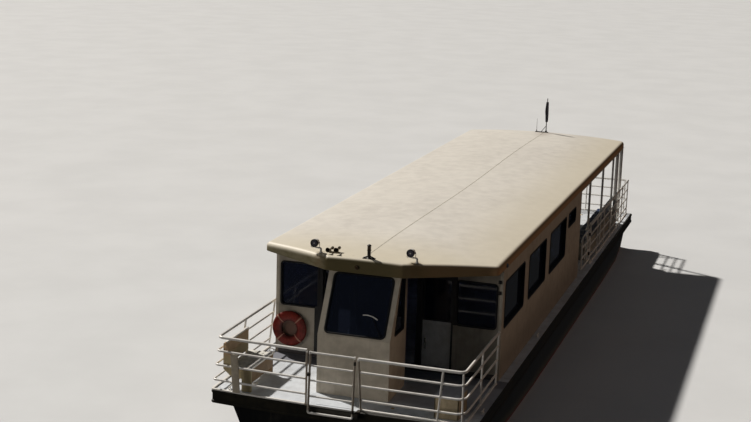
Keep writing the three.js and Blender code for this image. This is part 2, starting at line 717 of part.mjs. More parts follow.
// Points of the corner at one level, at shares of its quarter turn, drawn for port.
function railCorner(run, height, shares) {
  const bend = between(run.bend, height);
  const y = between(run.y, height) - bend;
  const x = railX(run, height, y) - bend;
  return shares.map((share) => {
    const turn = (share * Math.PI) / 2;
    return [x + bend * Math.sin(turn), y + bend * Math.cos(turn), DECK + height];
  });
}

// One level's front run, from its splice just aft of the corner to the gate, drawn for port.
function frontRun(run, height) {
  const corner = railCorner(run, height, [0, 1 / 3, 2 / 3, 1]);
  const [x, y, z] = corner[0];
  const start = corner[3][1];
  const rest = [0.66, 0.33, 0].map((t) => {
    const at = run.gateY + (start - run.gateY) * t;
    return [railX(run, height, at), at, z];
  });
  return [[x - SPLICE, y, z], ...corner, ...rest];
}

// One level's side run, from the cabin to the splice with the front run, drawn for port.
function sideRun(run, height) {
  const [[x, y, z]] = railCorner(run, height, [0]);
  return [[run.aft, y, z], [x - SPLICE - GAP, y, z]];
}

// Toe bar, lower pipes and top pipe along one kind of run.
function railPipes(line, run) {
  return [
    [TOE / 2 + GAP, (TOE / 2) * Math.SQRT2, 4], [RAIL_TOP, RAIL_TOP_R, 8],
    ...RAIL_LEVELS.map((height) => [height, RAIL_R, 6]),
  ].map(([height, radius, sides]) => [line(run, height), radius, sides]);
}

// A broad flat post stands before the starboard front rails, its head leaning outboard.
const BROAD_POST = { foot: -2085, lean: -50, half: 75, z: [20, 770], thick: 20 };

function broadPost() {
  const { foot, lean, half, z: [z0, z1], thick } = BROAD_POST;
  const x = railX(BOW_RAIL.starboard, 0, foot) + RAIL_R / 2;
  return across(polygon([
    [foot - half, DECK + z0], [foot + half, DECK + z0],
    [foot + half + lean, DECK + z1], [foot - half + lean, DECK + z1],
  ]), x, x + thick);
}

// The port rail carries the bow gate's hinge plate, which reaches over the deck's edge.
function hingePlate() {
  const { gateY } = BOW_RAIL.port;
  const x0 = railX(BOW_RAIL.port, 0, gateY);
  const x1 = BOW + BOW_BULGE + 90;
  const [y0, y1] = [GATE.hinge + 45, gateY + 15];
  return joined([
    block([x0, y0, DECK + 5], [x1, y1, DECK + 15]),
    block([BOW + BOW_BULGE + 5, y0, DECK - 100], [x1, y1, DECK + 15]),
  ]);
}

for (const side of SIDES) {
  const run = BOW_RAIL[side.name];
  const foot = 20;
  const sidePosts = run.side.map((x) => [
    [x, between(run.y, foot), DECK + foot], [x, between(run.y, RAIL_TOP), DECK + RAIL_TOP],
  ]);
  const frontPosts = run.front.map(([low, high]) => [
    [railX(run, foot, low), low, DECK + foot], [railX(run, RAIL_TOP, high), high, DECK + RAIL_TOP],
  ]);
  const [low] = railCorner(run, foot, [0.5]);
  const [high] = railCorner(run, RAIL_TOP, [0.5]);
  if (run.cornerPost) frontPosts.push([low, high]);
  const bars = (list) => list.map(([points, radius, sides]) =>
    bar(points.map(([x, y, z]) => [x, side.y * y, z]), radius, sides));
  const posts = (list) => bars(list.map((ends) => [ends, POST_R, 6]));
  part(`bow_rail_${side.name}_side`, "rail", joined([
    ...bars(railPipes(sideRun, run)), ...posts(sidePosts),
  ]));
  part(`bow_rail_${side.name}_front`, "rail", joined([
    ...bars(railPipes(frontRun, run)), ...posts(frontPosts),
    side.y > 0 ? hingePlate() : broadPost(),
  ]));
}

// The bow gate hangs in front of the deck's edge on a stile that leans aft.
const gateRise = RAIL_TOP - GATE.foot;

function bowGate() {
  const width = GATE.latch - GATE.hinge;
  const at = (h, y) => [(-GATE.lean * (h - GATE.foot)) / gateRise, y, h - GATE.foot];
  const frame = bar(
    [at(RAIL_TOP, 0), at(GATE.foot, 0), at(GATE.foot, width), at(RAIL_TOP, width)], 22, 8);
  const levels = [...RAIL_LEVELS, RAIL_TOP - 20].map((h) => bar([at(h, 0), at(h, width)], RAIL_R));
  return joined([frame, ...levels]);
}

part("bow_gate", "rail", bowGate(), [BOW + BOW_BULGE + GATE.clear, GATE.hinge, DECK + GATE.foot]);

const AFT_RAIL = { y: 2445, front: -2760, aft: STERN + 100 };
const STERN_RAIL = { x: AFT_RAIL.aft + 20, half: AFT_RAIL.y - 60 };

// Straight rail along a line: end points at deck level, posts spread evenly.
function straightRail(from, to, spans) {
  const at = (t, h) => [
    from[0] + (to[0] - from[0]) * t, from[1] + (to[1] - from[1]) * t, DECK + h,
  ];
  const toe = bar([at(0, TOE / 2 + GAP), at(1, TOE / 2 + GAP)], (TOE / 2) * Math.SQRT2, 4);
  const levels = RAIL_LEVELS.map((h) => bar([at(0, h), at(1, h)], RAIL_R));
  const inset = 25 / Math.hypot(to[0] - from[0], to[1] - from[1]);
  const posts = Array.from({ length: spans + 1 }, (_, k) => {
    const t = inset + ((1 - 2 * inset) * k) / spans;
    return bar([at(t, 20), at(t, RAIL_TOP)], POST_R);
  });
  const top = bar([at(0, RAIL_TOP), at(1, RAIL_TOP)], RAIL_TOP_R, 8);
  return joined([toe, top, ...levels, ...posts]);
}

const BOARDING_GATE = { low: 150, high: 990, levels: [430, 710] };

function boardingGate() {
  const { low, high, levels } = BOARDING_GATE;
  const reach = BOARDING.latch - BOARDING.hinge;
  const loop = bar([[0, 0, low], [reach, 0, low], [reach, 0, high], [0, 0, high], [0, 0, low + 100]],
    POST_R, 8);
  const stile = bar([[0, 0, low], [0, 0, high]], POST_R, 8);
  return joined([loop, stile, ...levels.map((h) => bar([[0, 0, h], [reach, 0, h]], RAIL_R))]);
}

for (const side of SIDES) {
  const y = side.y * AFT_RAIL.y;
  part(`aft_rail_${side.name}`, "rail", straightRail([AFT_RAIL.front, y], [AFT_RAIL.aft, y], 6));
  part(`boarding_gate_${side.name}`, "rail", boardingGate(), [BOARDING.hinge, y, DECK]);
}

part("stern_rail", "rail", straightRail(
  [STERN_RAIL.x, -STERN_RAIL.half], [STERN_RAIL.x, STERN_RAIL.half], 4,
));

// Foredeck furniture

const FORE_BENCH = { x: [8720, 9900], y: [-2400, -1880], seat: 430, board: 40, back: [470, 970] };

// A slatless bench: seat, apron, back board, a leg panel aft and a shaped end board forward.
function foredeckBench() {
  const { x: [x0, x1], y: [y0, y1], seat, board, back: [b0, b1] } = FORE_BENCH;
  const endBoard = across(polygon([
    [y0 - 30, DECK + b1], [y0 + 20, DECK + b1], [y0 + 200, DECK + seat + 30],
    [y1 + 30, DECK + seat], [y1 + 30, DECK + GAP], [y1 - 170, DECK + GAP],
    [y1 - 170, DECK + 250], [y0 + 150, DECK + 250], [y0 - 30, DECK + 400],
  ]), x1, x1 + 30);
  return joined([
    block([x0, y0, DECK + seat - board], [x1 + 10, y1, DECK + seat]),
    block([x0 + 50, y1 - 20, DECK + seat - 200], [x1 + 10, y1, DECK + seat - board + 1]),
    block([x0 + 70, y0 - 30, DECK + b0], [x1 + 10, y0, DECK + b1]),
    ...[x0 + 100, x1 - 200].map((x) =>
      block([x, y0 - 30, DECK + seat - board], [x + 60, y0 + 5, DECK + b0 + 100])),
    block([x0 + 50, y0 + 60, DECK + GAP], [x0 + 80, y1, DECK + seat - board + 1]),
    endBoard,
  ]);
}

part("foredeck_bench", "rail", foredeckBench());

const LOCKER = { x: [9240, 9870], y: [1740, 2200], height: 400, wall: 25, lap: 15, lid: 30 };

function bowLocker() {
  const { x: [x0, x1], y: [y0, y1], height, wall } = LOCKER;
  const box = block([x0, y0, DECK + GAP], [x1, y1, DECK + height]);
  return box.subtract(
    block([x0 + wall, y0 + wall, DECK + 40], [x1 - wall, y1 - wall, DECK + height + 10]));
}

part("bow_locker", "rail", bowLocker());
part("bow_locker_lid", "grey", block(
  [LOCKER.x[0] - LOCKER.lap, LOCKER.y[0] - LOCKER.lap - LOCKER.y[1], GAP],
  [LOCKER.x[1] + LOCKER.lap, 0, LOCKER.lid],
), [0, LOCKER.y[1], DECK + LOCKER.height]);

const buoyRing = turned(Array.from({ length: 11 }, (_, k) => {
  const turn = (k * Math.PI) / 5;
  return [BUOY.outer - BUOY.section + BUOY.section * Math.cos(turn), BUOY.half * Math.sin(turn)];
}), X, ORIGIN, 28);
part("lifebuoy", "orange", buoyRing, [CABIN_FRONT + BUOY.half + 2, BUOY.y, BUOY.z]);

// Roof gear

// Each searchlight's head stands beside its foot, to starboard of it.
const LAMP = { r: 78, height: 190, out: -115, ear: 90 };
// Columns: side, x, y of the foot
const LAMPS = [["port", 8660, 967], ["starboard", 8664, -965]];

function searchlight() {
  const { r, height, out, ear } = LAMP;
  const drum = turned([[0, -95], [40, -90], [66, -55], [70, 50], [r, 52], [r, 75], [0, 75]],
    X, [0, out, height], 18);
  return joined([
    drum,
    rod(Z, [0, 0, 0.5], 12, 36, 12),
    rod(Z, [0, 0, 5], 80, 20, 10),
    bar([[0, 0, 70], [0, out, 95]], 20, 6),
    block([-18, out - ear, 85], [18, out + ear, 100]),
    block([-18, out - ear, 85], [18, out - ear + 12, height + 15]),
    block([-18, out + ear - 12, 85], [18, out + ear, height + 15]),
    rod(Y, [0, out - ear + 5, height], 2 * ear - 10, 12, 8),
  ]);
}

for (const [name, x, y] of LAMPS) {
  part(`searchlight_${name}`, "dark", searchlight(), [x, y, roofTop(y) + 4]);
}

// Two trumpets on one bracket; columns: y, height, how far it turns outboard
const TRUMPETS = [[-75, 72, -0.06], [75, 88, 0.06]];

function horn() {
  const bell = [[0, -110], [30, -110], [30, -60], [11, -50], [14, 60], [24, 110], [48, 150], [0, 146]];
  const trumpets = TRUMPETS.flatMap(([y, z, turn]) => {
    const axis = new THREE.Vector3(Math.cos(turn), Math.sin(turn), 0.04).normalize();
    return [turned(bell, axis, [0, y, z], 12), block([-20, y - 12, 5], [20, y + 12, z])];
  });
  return joined([block([-60, -110, 2], [40, 110, 12]), ...trumpets]);
}

part("horn", "dark", horn(), [8590, -715, roofTop(605)]);

const lightPost = joined([
  block([-50, -120, 2], [50, 120, 12]),
  rod(Z, [0, 0, 5], 190, 34, 14),
  rod(Z, [0, 0, 190], 90, 42, 14),
]);
part("light_post", "dark", lightPost, [8774, 49, roofTop(0)]);

// The staff leans aft; a thin aerial stands beside it on the same plate.
const STAFF = { x: -8400, y: 25, r: 14, height: 1040, aerial: 410 };
const flagstaff = joined([
  block([-60, -330, 2], [60, 60, 12]),
  rod(Z, [0, 0, 5], STAFF.height, STAFF.r, 10),
  rod(Z, [0, -290, 5], STAFF.aerial, 9, 8),
  bar([[0, 0, 190], [0, -150, 8]], 10, 6),
]);
part("flagstaff", "dark", flagstaff, [STAFF.x, STAFF.y, roofTop(0)]);
const sleeve = STAFF.r + 1;
part("furled_flag", "flag", turned(
  [[sleeve, 300], [45, 330], [60, 430], [55, 600], [35, 850], [sleeve, 960], [sleeve, 300]],
  Z, ORIGIN, 12,
), [STAFF.x, STAFF.y, roofTop(0)]);

export default ferry;
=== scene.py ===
"""A river passenger ferry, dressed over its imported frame.

Metres; X points forward, Y to port, Z up from the waterline. Each piece is a surface or a profile
worked out with numpy, and every finish is made of nodes that read Object coordinates.
"""
import json
import math
from functools import partial

import bpy
import numpy as np
from mathutils import Matrix, Vector


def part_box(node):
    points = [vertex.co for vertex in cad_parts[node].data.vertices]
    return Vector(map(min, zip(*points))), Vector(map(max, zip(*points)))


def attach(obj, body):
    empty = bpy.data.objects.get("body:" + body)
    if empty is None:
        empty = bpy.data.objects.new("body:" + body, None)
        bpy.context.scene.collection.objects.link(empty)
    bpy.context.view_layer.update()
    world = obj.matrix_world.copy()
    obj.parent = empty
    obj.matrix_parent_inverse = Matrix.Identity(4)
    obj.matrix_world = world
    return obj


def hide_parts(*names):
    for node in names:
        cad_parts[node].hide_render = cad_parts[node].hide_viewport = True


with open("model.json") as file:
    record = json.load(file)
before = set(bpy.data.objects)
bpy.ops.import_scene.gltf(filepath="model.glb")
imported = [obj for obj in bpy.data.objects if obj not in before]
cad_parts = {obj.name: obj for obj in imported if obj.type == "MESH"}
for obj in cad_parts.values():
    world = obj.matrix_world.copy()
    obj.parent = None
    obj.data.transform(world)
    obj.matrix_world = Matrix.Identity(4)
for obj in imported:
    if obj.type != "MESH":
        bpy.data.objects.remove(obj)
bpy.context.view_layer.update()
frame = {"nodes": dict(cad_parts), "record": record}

bl_info = {
    "name": "Passenger Ferry",
    "version": (1, 0, 0),
    "blender": (4, 5, 0),
    "location": "View3D > Sidebar > Ferry",
    "description": "Builds the finishes and the modelled pieces of a river passenger ferry",
    "category": "Object",
}

SIDES = (("port", 1), ("starboard", -1))
AHEAD, PORT, UP = np.eye(3)
ORIGIN = (0, 0, 0)
GAP = 0.0005

# Driving dimensions, in the frame's own metres
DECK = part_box("strake")[1].z
STAND = DECK + 0.001
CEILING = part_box("roof")[0].z
HALF_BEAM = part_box("strake")[1].y
BOW = 10.07
BOW_BULGE = 0.1
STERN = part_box("strake")[0].x
STRAKE_DEPTH = 0.26
CABIN_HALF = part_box("side_wall_port")[1].y
CABIN_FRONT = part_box("side_wall_port")[1].x
CABIN_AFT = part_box("side_wall_port")[0].x
WALL = 0.06
ROOF_EDGE = 3.515
ROOF_RISE = 0.1
ROOF_ROUND = 0.09
ROOF_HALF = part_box("roof")[1].y
ROOF_FRONT = 7.95
ROOF_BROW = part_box("roof")[1].x
ROOF_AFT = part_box("roof")[0].x
BROW_HALF = 0.76
POD_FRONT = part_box("wheelhouse_front")[1].x
POD_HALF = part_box("wheelhouse_front")[1].y
POD_KNEE = 2.215
POD_TOP_X = 8.83
RAIL_TOP = 1.06
RAIL_LEVELS = (0.21, 0.51, 0.79)
TOE = {"width": 0.05, "height": 0.03}
GATE = {"foot": -0.11, "hinge": 0.29, "latch": -0.58, "lean": 0.075, "x": BOW + BOW_BULGE + 0.065}
BOARDING = {"hinge": -2.7, "latch": -1.52, "low": 0.15, "high": 0.99, "levels": (0.43, 0.71)}
AFT_RAIL = {"y": 2.445, "front": -2.76, "aft": STERN + 0.1}


def colour(name, description, value):
    """Paint colour of one part of the boat."""
    return bpy.props.FloatVectorProperty(
        name=name, description=description, subtype="COLOR", size=4, min=0, max=1,
        default=(*value, 1))


def length(name, description, value):
    """Length in metres."""
    return bpy.props.FloatProperty(
        name=name, description=description, default=value, min=0, unit="LENGTH", subtype="DISTANCE")


class FerryPaint(bpy.types.PropertyGroup):
    """Colours of the ferry's finishes."""
    roof: colour("Roof", "Bleached white of the long roof", (0.69, 0.655, 0.6))
    # The fascia's dark olive brown is partly weathering and partly painted shade of the roof's edge
    fascia: colour("Fascia", "Weathered olive brown of the roof's edge", (0.12, 0.1, 0.042))
    cabin: colour("Cabin", "Cream of the cabin walls", (0.54, 0.485, 0.4))
    door: colour("Door panels", "White of the doors' lower panels", (0.64, 0.64, 0.64))
    hull: colour("Hull", "Black above the waterline", (0.006, 0.006, 0.007))
    bottom: colour("Bottom", "Dull red below the waterline", (0.16, 0.03, 0.018))
    strake: colour("Strake", "Dark rubbing strake", (0.014, 0.013, 0.01))
    # The deck's blue tint is partly painted light: the blue of the sky in its shade
    deck: colour("Deck", "Pale non-slip deck", (0.63, 0.665, 0.71))
    rail: colour("Rails", "White of the pipe rails", (0.93, 0.91, 0.87))
    post: colour("Gate posts", "Browned paint of the posts by the bow gate", (0.3, 0.25, 0.19))
    glass: colour("Glass", "Dark tint of the windows", (0.035, 0.045, 0.085))
    rubber: colour("Rubber", "Black seals and frames", (0.012, 0.012, 0.013))
    steel: colour("Dark fittings", "Dark paint of the roof gear", (0.03, 0.028, 0.026))
    seat: colour("Seats", "Moulded seats", (0.03, 0.05, 0.11))
    locker: colour("Locker", "Blue-grey locker top", (0.36, 0.37, 0.41))
    bench: colour("Bench", "Pale boards of the foredeck bench", (0.8, 0.78, 0.72))
    # Brown of the bench's apron and leg: painted shade of the bench's port face
    apron_shade: colour("Timber", "Worn brown boards", (0.29, 0.19, 0.1))
    buoy: colour("Lifebuoy", "Faded dark red shell", (0.2, 0.016, 0.009))
    band: colour("Bands", "Dulled bands of the lifebuoy", (0.42, 0.22, 0.16))
    flag: colour("Flag", "Dark furled cloth", (0.012, 0.012, 0.022))
    floor: colour("Floor", "Pale floor of the stage", (0.64, 0.65, 0.66))


class FerrySizes(bpy.types.PropertyGroup):
    """Sizes that may be changed without moving the frame."""
    top_rail: length("Top rail", "Radius of the top rail", 0.028)
    rail: length("Rail", "Radius of the lower rails", 0.021)
    post: length("Post", "Radius of the rail posts", 0.02)
    gasket: length("Window seal", "Width of the black seal round each window", 0.034)
    seat_pitch: length("Seat pitch", "Spacing of the moulded seats", 0.47)
    plate: length("Deck plate", "Spacing of the deck's plate seams", 2.4)


class FerryView(bpy.types.PropertyGroup):
    """Camera and light."""
    place: bpy.props.FloatVectorProperty(
        name="Camera", description="Where the camera stands", default=(32.9813, 7.9262, 10.0662),
        subtype="TRANSLATION", unit="LENGTH")
    yaw: bpy.props.FloatProperty(
        name="Yaw", description="Turn from +X towards +Y", default=-2.8308, subtype="ANGLE")
    pitch: bpy.props.FloatProperty(
        name="Pitch", description="Angle above the horizon", default=-0.2136, subtype="ANGLE")
    roll: bpy.props.FloatProperty(
        name="Roll", description="Turn about the line of sight", default=0.0305, subtype="ANGLE")
    lens: bpy.props.FloatProperty(
        name="Lens", description="Focal length in millimetres", default=66.25, subtype="DISTANCE_CAMERA")
    sun: bpy.props.FloatProperty(name="Key light", description="Strength of the key", default=4.4)
    front: bpy.props.FloatProperty(
        name="Front fill", description="Strength of the wide light from ahead", default=0.95)
    port: bpy.props.FloatProperty(
        name="Port fill", description="Strength of the warm light from port", default=0.5)
    overhead: bpy.props.FloatProperty(
        name="Overhead", description="Strength of the wide light from above", default=0.08)
    sky: bpy.props.FloatProperty(
        name="Even light", description="Strength of the light all round", default=0.02)


# Shapes

def unit(vectors):
    """Vectors scaled to length one along the last axis."""
    vectors = np.asarray(vectors, float)
    return vectors / np.linalg.norm(vectors, axis=-1, keepdims=True)


def quads_of(rows, columns):
    """Corners of the quads between neighbours in rows and columns of points."""
    at = np.arange(rows * columns).reshape(rows, columns)
    return np.stack([at[:-1, :-1], at[1:, :-1], at[1:, 1:], at[:-1, 1:]], -1).reshape(-1, 4)


def grid(points):
    """Quads between neighbours of points[u, v]; faces point along du x dv.

    Points that fall together, at a seam or a pole, become one, and a quad that loses a corner
    becomes a triangle."""
    return welded(points.reshape(-1, 3), quads_of(*points.shape[:2]))


def welded(points, quads):
    """Merges equal points and drops the corner that a quad has twice."""
    _, first, back = np.unique(np.round(points, 6), axis=0, return_index=True, return_inverse=True)
    quads = back.reshape(-1)[quads]
    twice = quads == np.roll(quads, -1, 1)
    whole = quads[~twice.any(1)]
    single = twice.sum(1) == 1
    triangles = quads[single][~twice[single]].reshape(-1, 3)
    return points[first], [whole, triangles]


def capped(rings):
    """Closed shell through rings of points, its two ends drawn in to their middles."""
    ends = [end.mean(1, keepdims=True).repeat(rings.shape[1], 1) for end in (rings[:1], rings[-1:])]
    return grid(np.concatenate([ends[0], rings, ends[1]]))


def turned_over(shell):
    """The same shell with its faces pointing the other way."""
    points, faces = shell
    return points, [face[:, ::-1] for face in faces]


def joined(shells):
    """Several shells as one."""
    points, faces, start = [], {}, 0
    for shell_points, shell_faces in shells:
        for face in shell_faces:
            faces.setdefault(face.shape[1], []).append(face + start)
        points.append(shell_points)
        start += len(shell_points)
    return np.concatenate(points), [np.concatenate(alike) for alike in faces.values()]


def copies(shell, offsets):
    """The shell once at every offset."""
    points, faces = shell
    offsets = np.asarray(offsets, float)
    step = len(points) * np.arange(len(offsets))[:, None, None]
    spread = (points[None] + offsets[:, None]).reshape(-1, 3)
    return spread, [(face[None] + step).reshape(-1, face.shape[1]) for face in faces]


def placed(shell, matrix):
    """The shell moved by a rigid matrix."""
    points, faces = shell
    matrix = np.array(matrix)
    return points @ matrix[:3, :3].T + matrix[:3, 3], faces


def circle(radius, steps=12, squash=1.0):
    """Closed section: radius times the cosine and sine of a full turn."""
    turn = np.linspace(0, 2 * np.pi, steps + 1)
    return radius * np.stack([np.cos(turn), squash * np.sin(turn)], -1)


def bar_section(width, depth, radius):
    """Closed rectangular section with quarter-round corners, centred on its origin."""
    turn = np.linspace(0, np.pi / 2, 4)
    quarters = [turn + k * np.pi / 2 for k in range(4)]
    middles = ((1, 1), (-1, 1), (-1, -1), (1, -1))
    half = np.array([width / 2 - radius, depth / 2 - radius])
    points = [half * m + radius * np.stack([np.cos(t), np.sin(t)], -1)
              for t, m in zip(quarters, middles)]
    return np.concatenate([*points, points[0][:1]])


def rounded(corners, radius, steps=6, closed=False):
    """Straight runs whose corners are circular arcs: each arc turns the vector from its centre
    to the run before it into the vector to the run after it."""
    corners = np.asarray(corners, float)
    count = len(corners)
    path = [] if closed else [corners[:1]]
    for k in range(0 if closed else 1, count if closed else count - 1):
        here = corners[k]
        before, after = unit(here - corners[k - 1]), unit(corners[(k + 1) % count] - here)
        turn = math.acos(np.clip(before @ after, -1, 1))
        if turn < 1e-4:
            path.append(here[None])
            continue
        middle = here + unit(after - before) * radius / math.cos(turn / 2)
        start = here - before * radius * math.tan(turn / 2) - middle
        end = here + after * radius * math.tan(turn / 2) - middle
        t = np.linspace(0, 1, steps + 1)[:, None]
        arc = (np.sin((1 - t) * turn) * start + np.sin(t * turn) * end) / math.sin(turn)
        path.append(middle + arc)
    if not closed:
        path.append(corners[-1:])
    return np.concatenate(path)


def split(path, longest):
    """The path with its long runs divided evenly."""
    pieces = []
    for start, end in zip(path[:-1], path[1:]):
        count = max(1, math.ceil(np.linalg.norm(end - start) / longest))
        pieces.append(start + (end - start) * np.arange(count)[:, None] / count)
    return np.concatenate([*pieces, path[-1:]])


def directions(path, closed=True):
    """Directions of the run before and the run after each point of a path."""
    before, after = path - np.roll(path, 1, 0), np.roll(path, -1, 0) - path
    if not closed:
        before[0], after[-1] = after[0], before[-1]
    return unit(before), unit(after)


def aside(axis):
    """A direction square to an axis."""
    return np.cross(axis, UP if abs(axis[2]) < 0.9 else AHEAD)


def sweep(path, section, normal, closed=False):
    """A closed section carried along a path that lies in one plane: the first section coordinate
    goes along normal x tangent, mitred at corners, the second along the normal."""
    path = np.asarray(path, float)
    before, after = directions(path, closed)
    tangent = unit(before + after)
    mitre = 1 / np.sqrt(np.clip((1 + (before * after).sum(1)) / 2, 0.1, 1))
    normal = unit(normal)
    across = np.cross(normal, tangent) * mitre[:, None]
    points = path[None] + section[:, None, :1] * across[None] + section[:, None, 1:] * normal
    if closed:
        return grid(np.concatenate([points, points[:, :1]], 1))
    ends = [np.broadcast_to(end, points[:, :1].shape) for end in (path[0], path[-1])]
    return grid(np.concatenate([ends[0], points, ends[1]], 1))


def tube(path, radius, normal=None, steps=12, closed=False):
    """Round bar along a path in one plane; a straight one finds its own normal."""
    path = np.asarray(path, float)
    if normal is None:
        normal = aside(unit(path[-1] - path[0]))
    return sweep(path, circle(radius, steps), normal, closed)


def revolved(profile, origin, axis, steps=32):
    """Profile of radius and distance along an axis, carried once round it."""
    profile = np.asarray(profile, float)
    axis = unit(axis)
    u = unit(aside(axis))
    v = np.cross(axis, u)
    turn = np.linspace(0, 2 * np.pi, steps + 1)[:, None, None]
    radial = np.cos(turn) * u + np.sin(turn) * v
    return grid(np.asarray(origin) + profile[None, :, :1] * radial + profile[None, :, 1:] * axis)


def rounded_box(low, high, radius):
    """Box whose edges and corners are parts of a sphere: each point is a corner of the box drawn
    in by the radius, plus the radius times a direction that sweeps that corner's octant."""
    low, high = np.minimum(low, high), np.maximum(low, high)
    half, middle = (high - low) / 2, (high + low) / 2
    radius = min(radius, half.min() * 0.98)
    lean = np.tan(np.linspace(0, np.pi / 4, 3))
    slope = np.concatenate([-lean[::-1], lean])
    sign = np.repeat((-1.0, 1.0), len(lean))
    slopes = np.meshgrid(slope, slope, indexing="ij")
    signs = np.meshgrid(sign, sign, indexing="ij")
    quads = quads_of(len(slope), len(slope))
    shells = []
    for axis in range(3):
        for face in (1, -1):
            side = np.full_like(slopes[0], face)
            aim, corner = (np.roll(np.stack([side, *pair], -1), axis, -1) for pair in (slopes, signs))
            points = middle + corner * (half - radius) + radius * unit(aim)
            shells.append((points.reshape(-1, 3), [quads if face > 0 else quads[:, ::-1]]))
    points, faces = joined(shells)
    return welded(points, faces[0])


def panel(outline, normal_axis, low, high, radius):
    """Flat board: a closed outline in the plane of the two other axes, thick from low to high
    along one axis, its edges rounded by drawing the outline in at both faces."""
    outline = np.asarray(outline, float)
    before, after = directions(outline)
    inward = np.stack([-before[:, 1], before[:, 0]], -1) + np.stack([-after[:, 1], after[:, 0]], -1)
    inward /= (1 + (before * after).sum(1))[:, None]
    turn = np.linspace(0, np.pi / 2, 4)
    rings = [(radius * (1 - np.sin(t)), low + radius * (1 - np.cos(t))) for t in turn]
    rings += [(radius * (1 - np.sin(t)), high - radius * (1 - np.cos(t))) for t in turn[::-1]]
    middle = outline.mean(0)[None].repeat(len(outline), 0)
    levels = [(middle, low), *((outline + inward * inset, level) for inset, level in rings),
              (middle, high)]
    flat = np.stack([np.column_stack([plan, np.full(len(plan), level)]) for plan, level in levels], 1)
    flat = np.concatenate([flat, flat[:1]])
    order = {0: (2, 0, 1), 1: (1, 2, 0), 2: (0, 1, 2)}[normal_axis]
    return grid(flat[..., order])


def make(name, shells, body="ship", replaces=(), sharp=35):
    """One piece from (paint, shell) pairs: its mesh, its finishes, the body that it rides on and the
    nodes that it stands for."""
    paints = list(dict.fromkeys(paint for paint, _ in shells))
    points, corners, sizes, index, start = [], [], [], [], 0
    for paint, (shell_points, faces) in shells:
        points.append(shell_points)
        for face in faces:
            corners.append((face + start).reshape(-1))
            sizes.append(np.full(len(face), face.shape[1]))
            index.append(np.full(len(face), paints.index(paint)))
        start += len(shell_points)
    points, corners, sizes = map(np.concatenate, (points, corners, sizes))
    mesh = bpy.data.meshes.new(name)
    mesh.vertices.add(len(points))
    mesh.vertices.foreach_set("co", points.astype(np.float32).reshape(-1))
    mesh.loops.add(len(corners))
    mesh.loops.foreach_set("vertex_index", corners.astype(np.int32))
    mesh.polygons.add(len(sizes))
    mesh.polygons.foreach_set("loop_start", (np.cumsum(sizes) - sizes).astype(np.int32))
    mesh.polygons.foreach_set("material_index", np.concatenate(index).astype(np.int32))
    mesh.update(calc_edges=True)
    mesh.validate()
    mesh.shade_smooth()
    mesh.set_sharp_from_angle(angle=math.radians(sharp))
    for paint in paints:
        mesh.materials.append(bpy.data.materials[paint])
    piece = bpy.data.objects.new(name, mesh)
    bpy.context.scene.collection.objects.link(piece)
    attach(piece, body)
    if replaces:
        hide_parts(*replaces)
    return piece


# Finishes

FLOAT, COLOUR = "NodeSocketFloat", "NodeSocketColor"


class Value:
    """Output of a node; each sum, range or mix made with it adds one node to the same tree."""

    def __init__(self, tree, socket):
        self.tree, self.socket = tree, socket

    def maths(self, operation, other=0.0):
        """Result of one operation on this value and another."""
        return put(self.tree, "ShaderNodeMath", {0: self, 1: other}, operation=operation)

    def __add__(self, other):
        return self.maths("ADD", other)

    def __sub__(self, other):
        return self.maths("SUBTRACT", other)

    def __rsub__(self, other):
        return put(self.tree, "ShaderNodeMath", {0: other, 1: self}, operation="SUBTRACT")

    def __mul__(self, other):
        return self.maths("MULTIPLY", other)

    def most(self, other):
        """The larger of this value and another."""
        return self.maths("MAXIMUM", other)

    def over(self, level):
        """One where this value is more than a level."""
        return self.maths("GREATER_THAN", level)

    def ramp(self, low, high, start=0.0, end=1.0):
        """This value taken from the range low to high into another, eased and held at its ends."""
        return put(self.tree, "ShaderNodeMapRange", {0: self, 1: low, 2: high, 3: start, 4: end},
                   interpolation_type="SMOOTHSTEP")

    def mix(self, a, b):
        """Colour a, or b where this value is one."""
        return put(self.tree, "ShaderNodeMix", {0: self, 6: opaque(a), 7: opaque(b)}, 2,
                   data_type="RGBA")


def opaque(tint):
    """Colour with its alpha at one; a colour that comes from a node stays as it is."""
    return tint if isinstance(tint, Value) else (*tint[:3], 1)


def fed(node, inputs):
    """The node, each input given a number or colour, or linked to the value that feeds it."""
    for key, value in inputs.items():
        if isinstance(value, Value):
            value.tree.links.new(value.socket, node.inputs[key])
        else:
            node.inputs[key].default_value = value
    return node


def put(tree, kind, inputs, output=0, **settings):
    """Output of one new node."""
    node = tree.nodes.new(kind)
    for name, value in settings.items():
        setattr(node, name, value)
    return Value(tree, fed(node, inputs).outputs[output])


def place(tree, stretch=(1, 1, 1)):
    """Place on the piece, in metres, stretched by a scale."""
    where = put(tree, "ShaderNodeTexCoord", {}, "Object")
    return put(tree, "ShaderNodeMapping", {"Vector": where, "Scale": stretch})


def axes(tree):
    """X, Y and Z of the place on the piece."""
    node = fed(tree.nodes.new("ShaderNodeSeparateXYZ"), {0: place(tree)})
    return [Value(tree, socket) for socket in node.outputs]


def noise(tree, scale, detail=4.0, rough=0.55, stretch=(1, 1, 1)):
    """Fractal noise from 0 to 1."""
    return put(tree, "ShaderNodeTexNoise", {
        "Vector": place(tree, stretch), "Scale": scale, "Detail": detail, "Roughness": rough})


def bump(tree, height, strength, distance=0.002):
    """Normal of a surface that a height makes uneven."""
    return put(tree, "ShaderNodeBump", {"Strength": strength, "Distance": distance, "Height": height})


def span(a, b):
    """Length of the vector that two values make."""
    return (a * a + b * b).maths("SQRT")


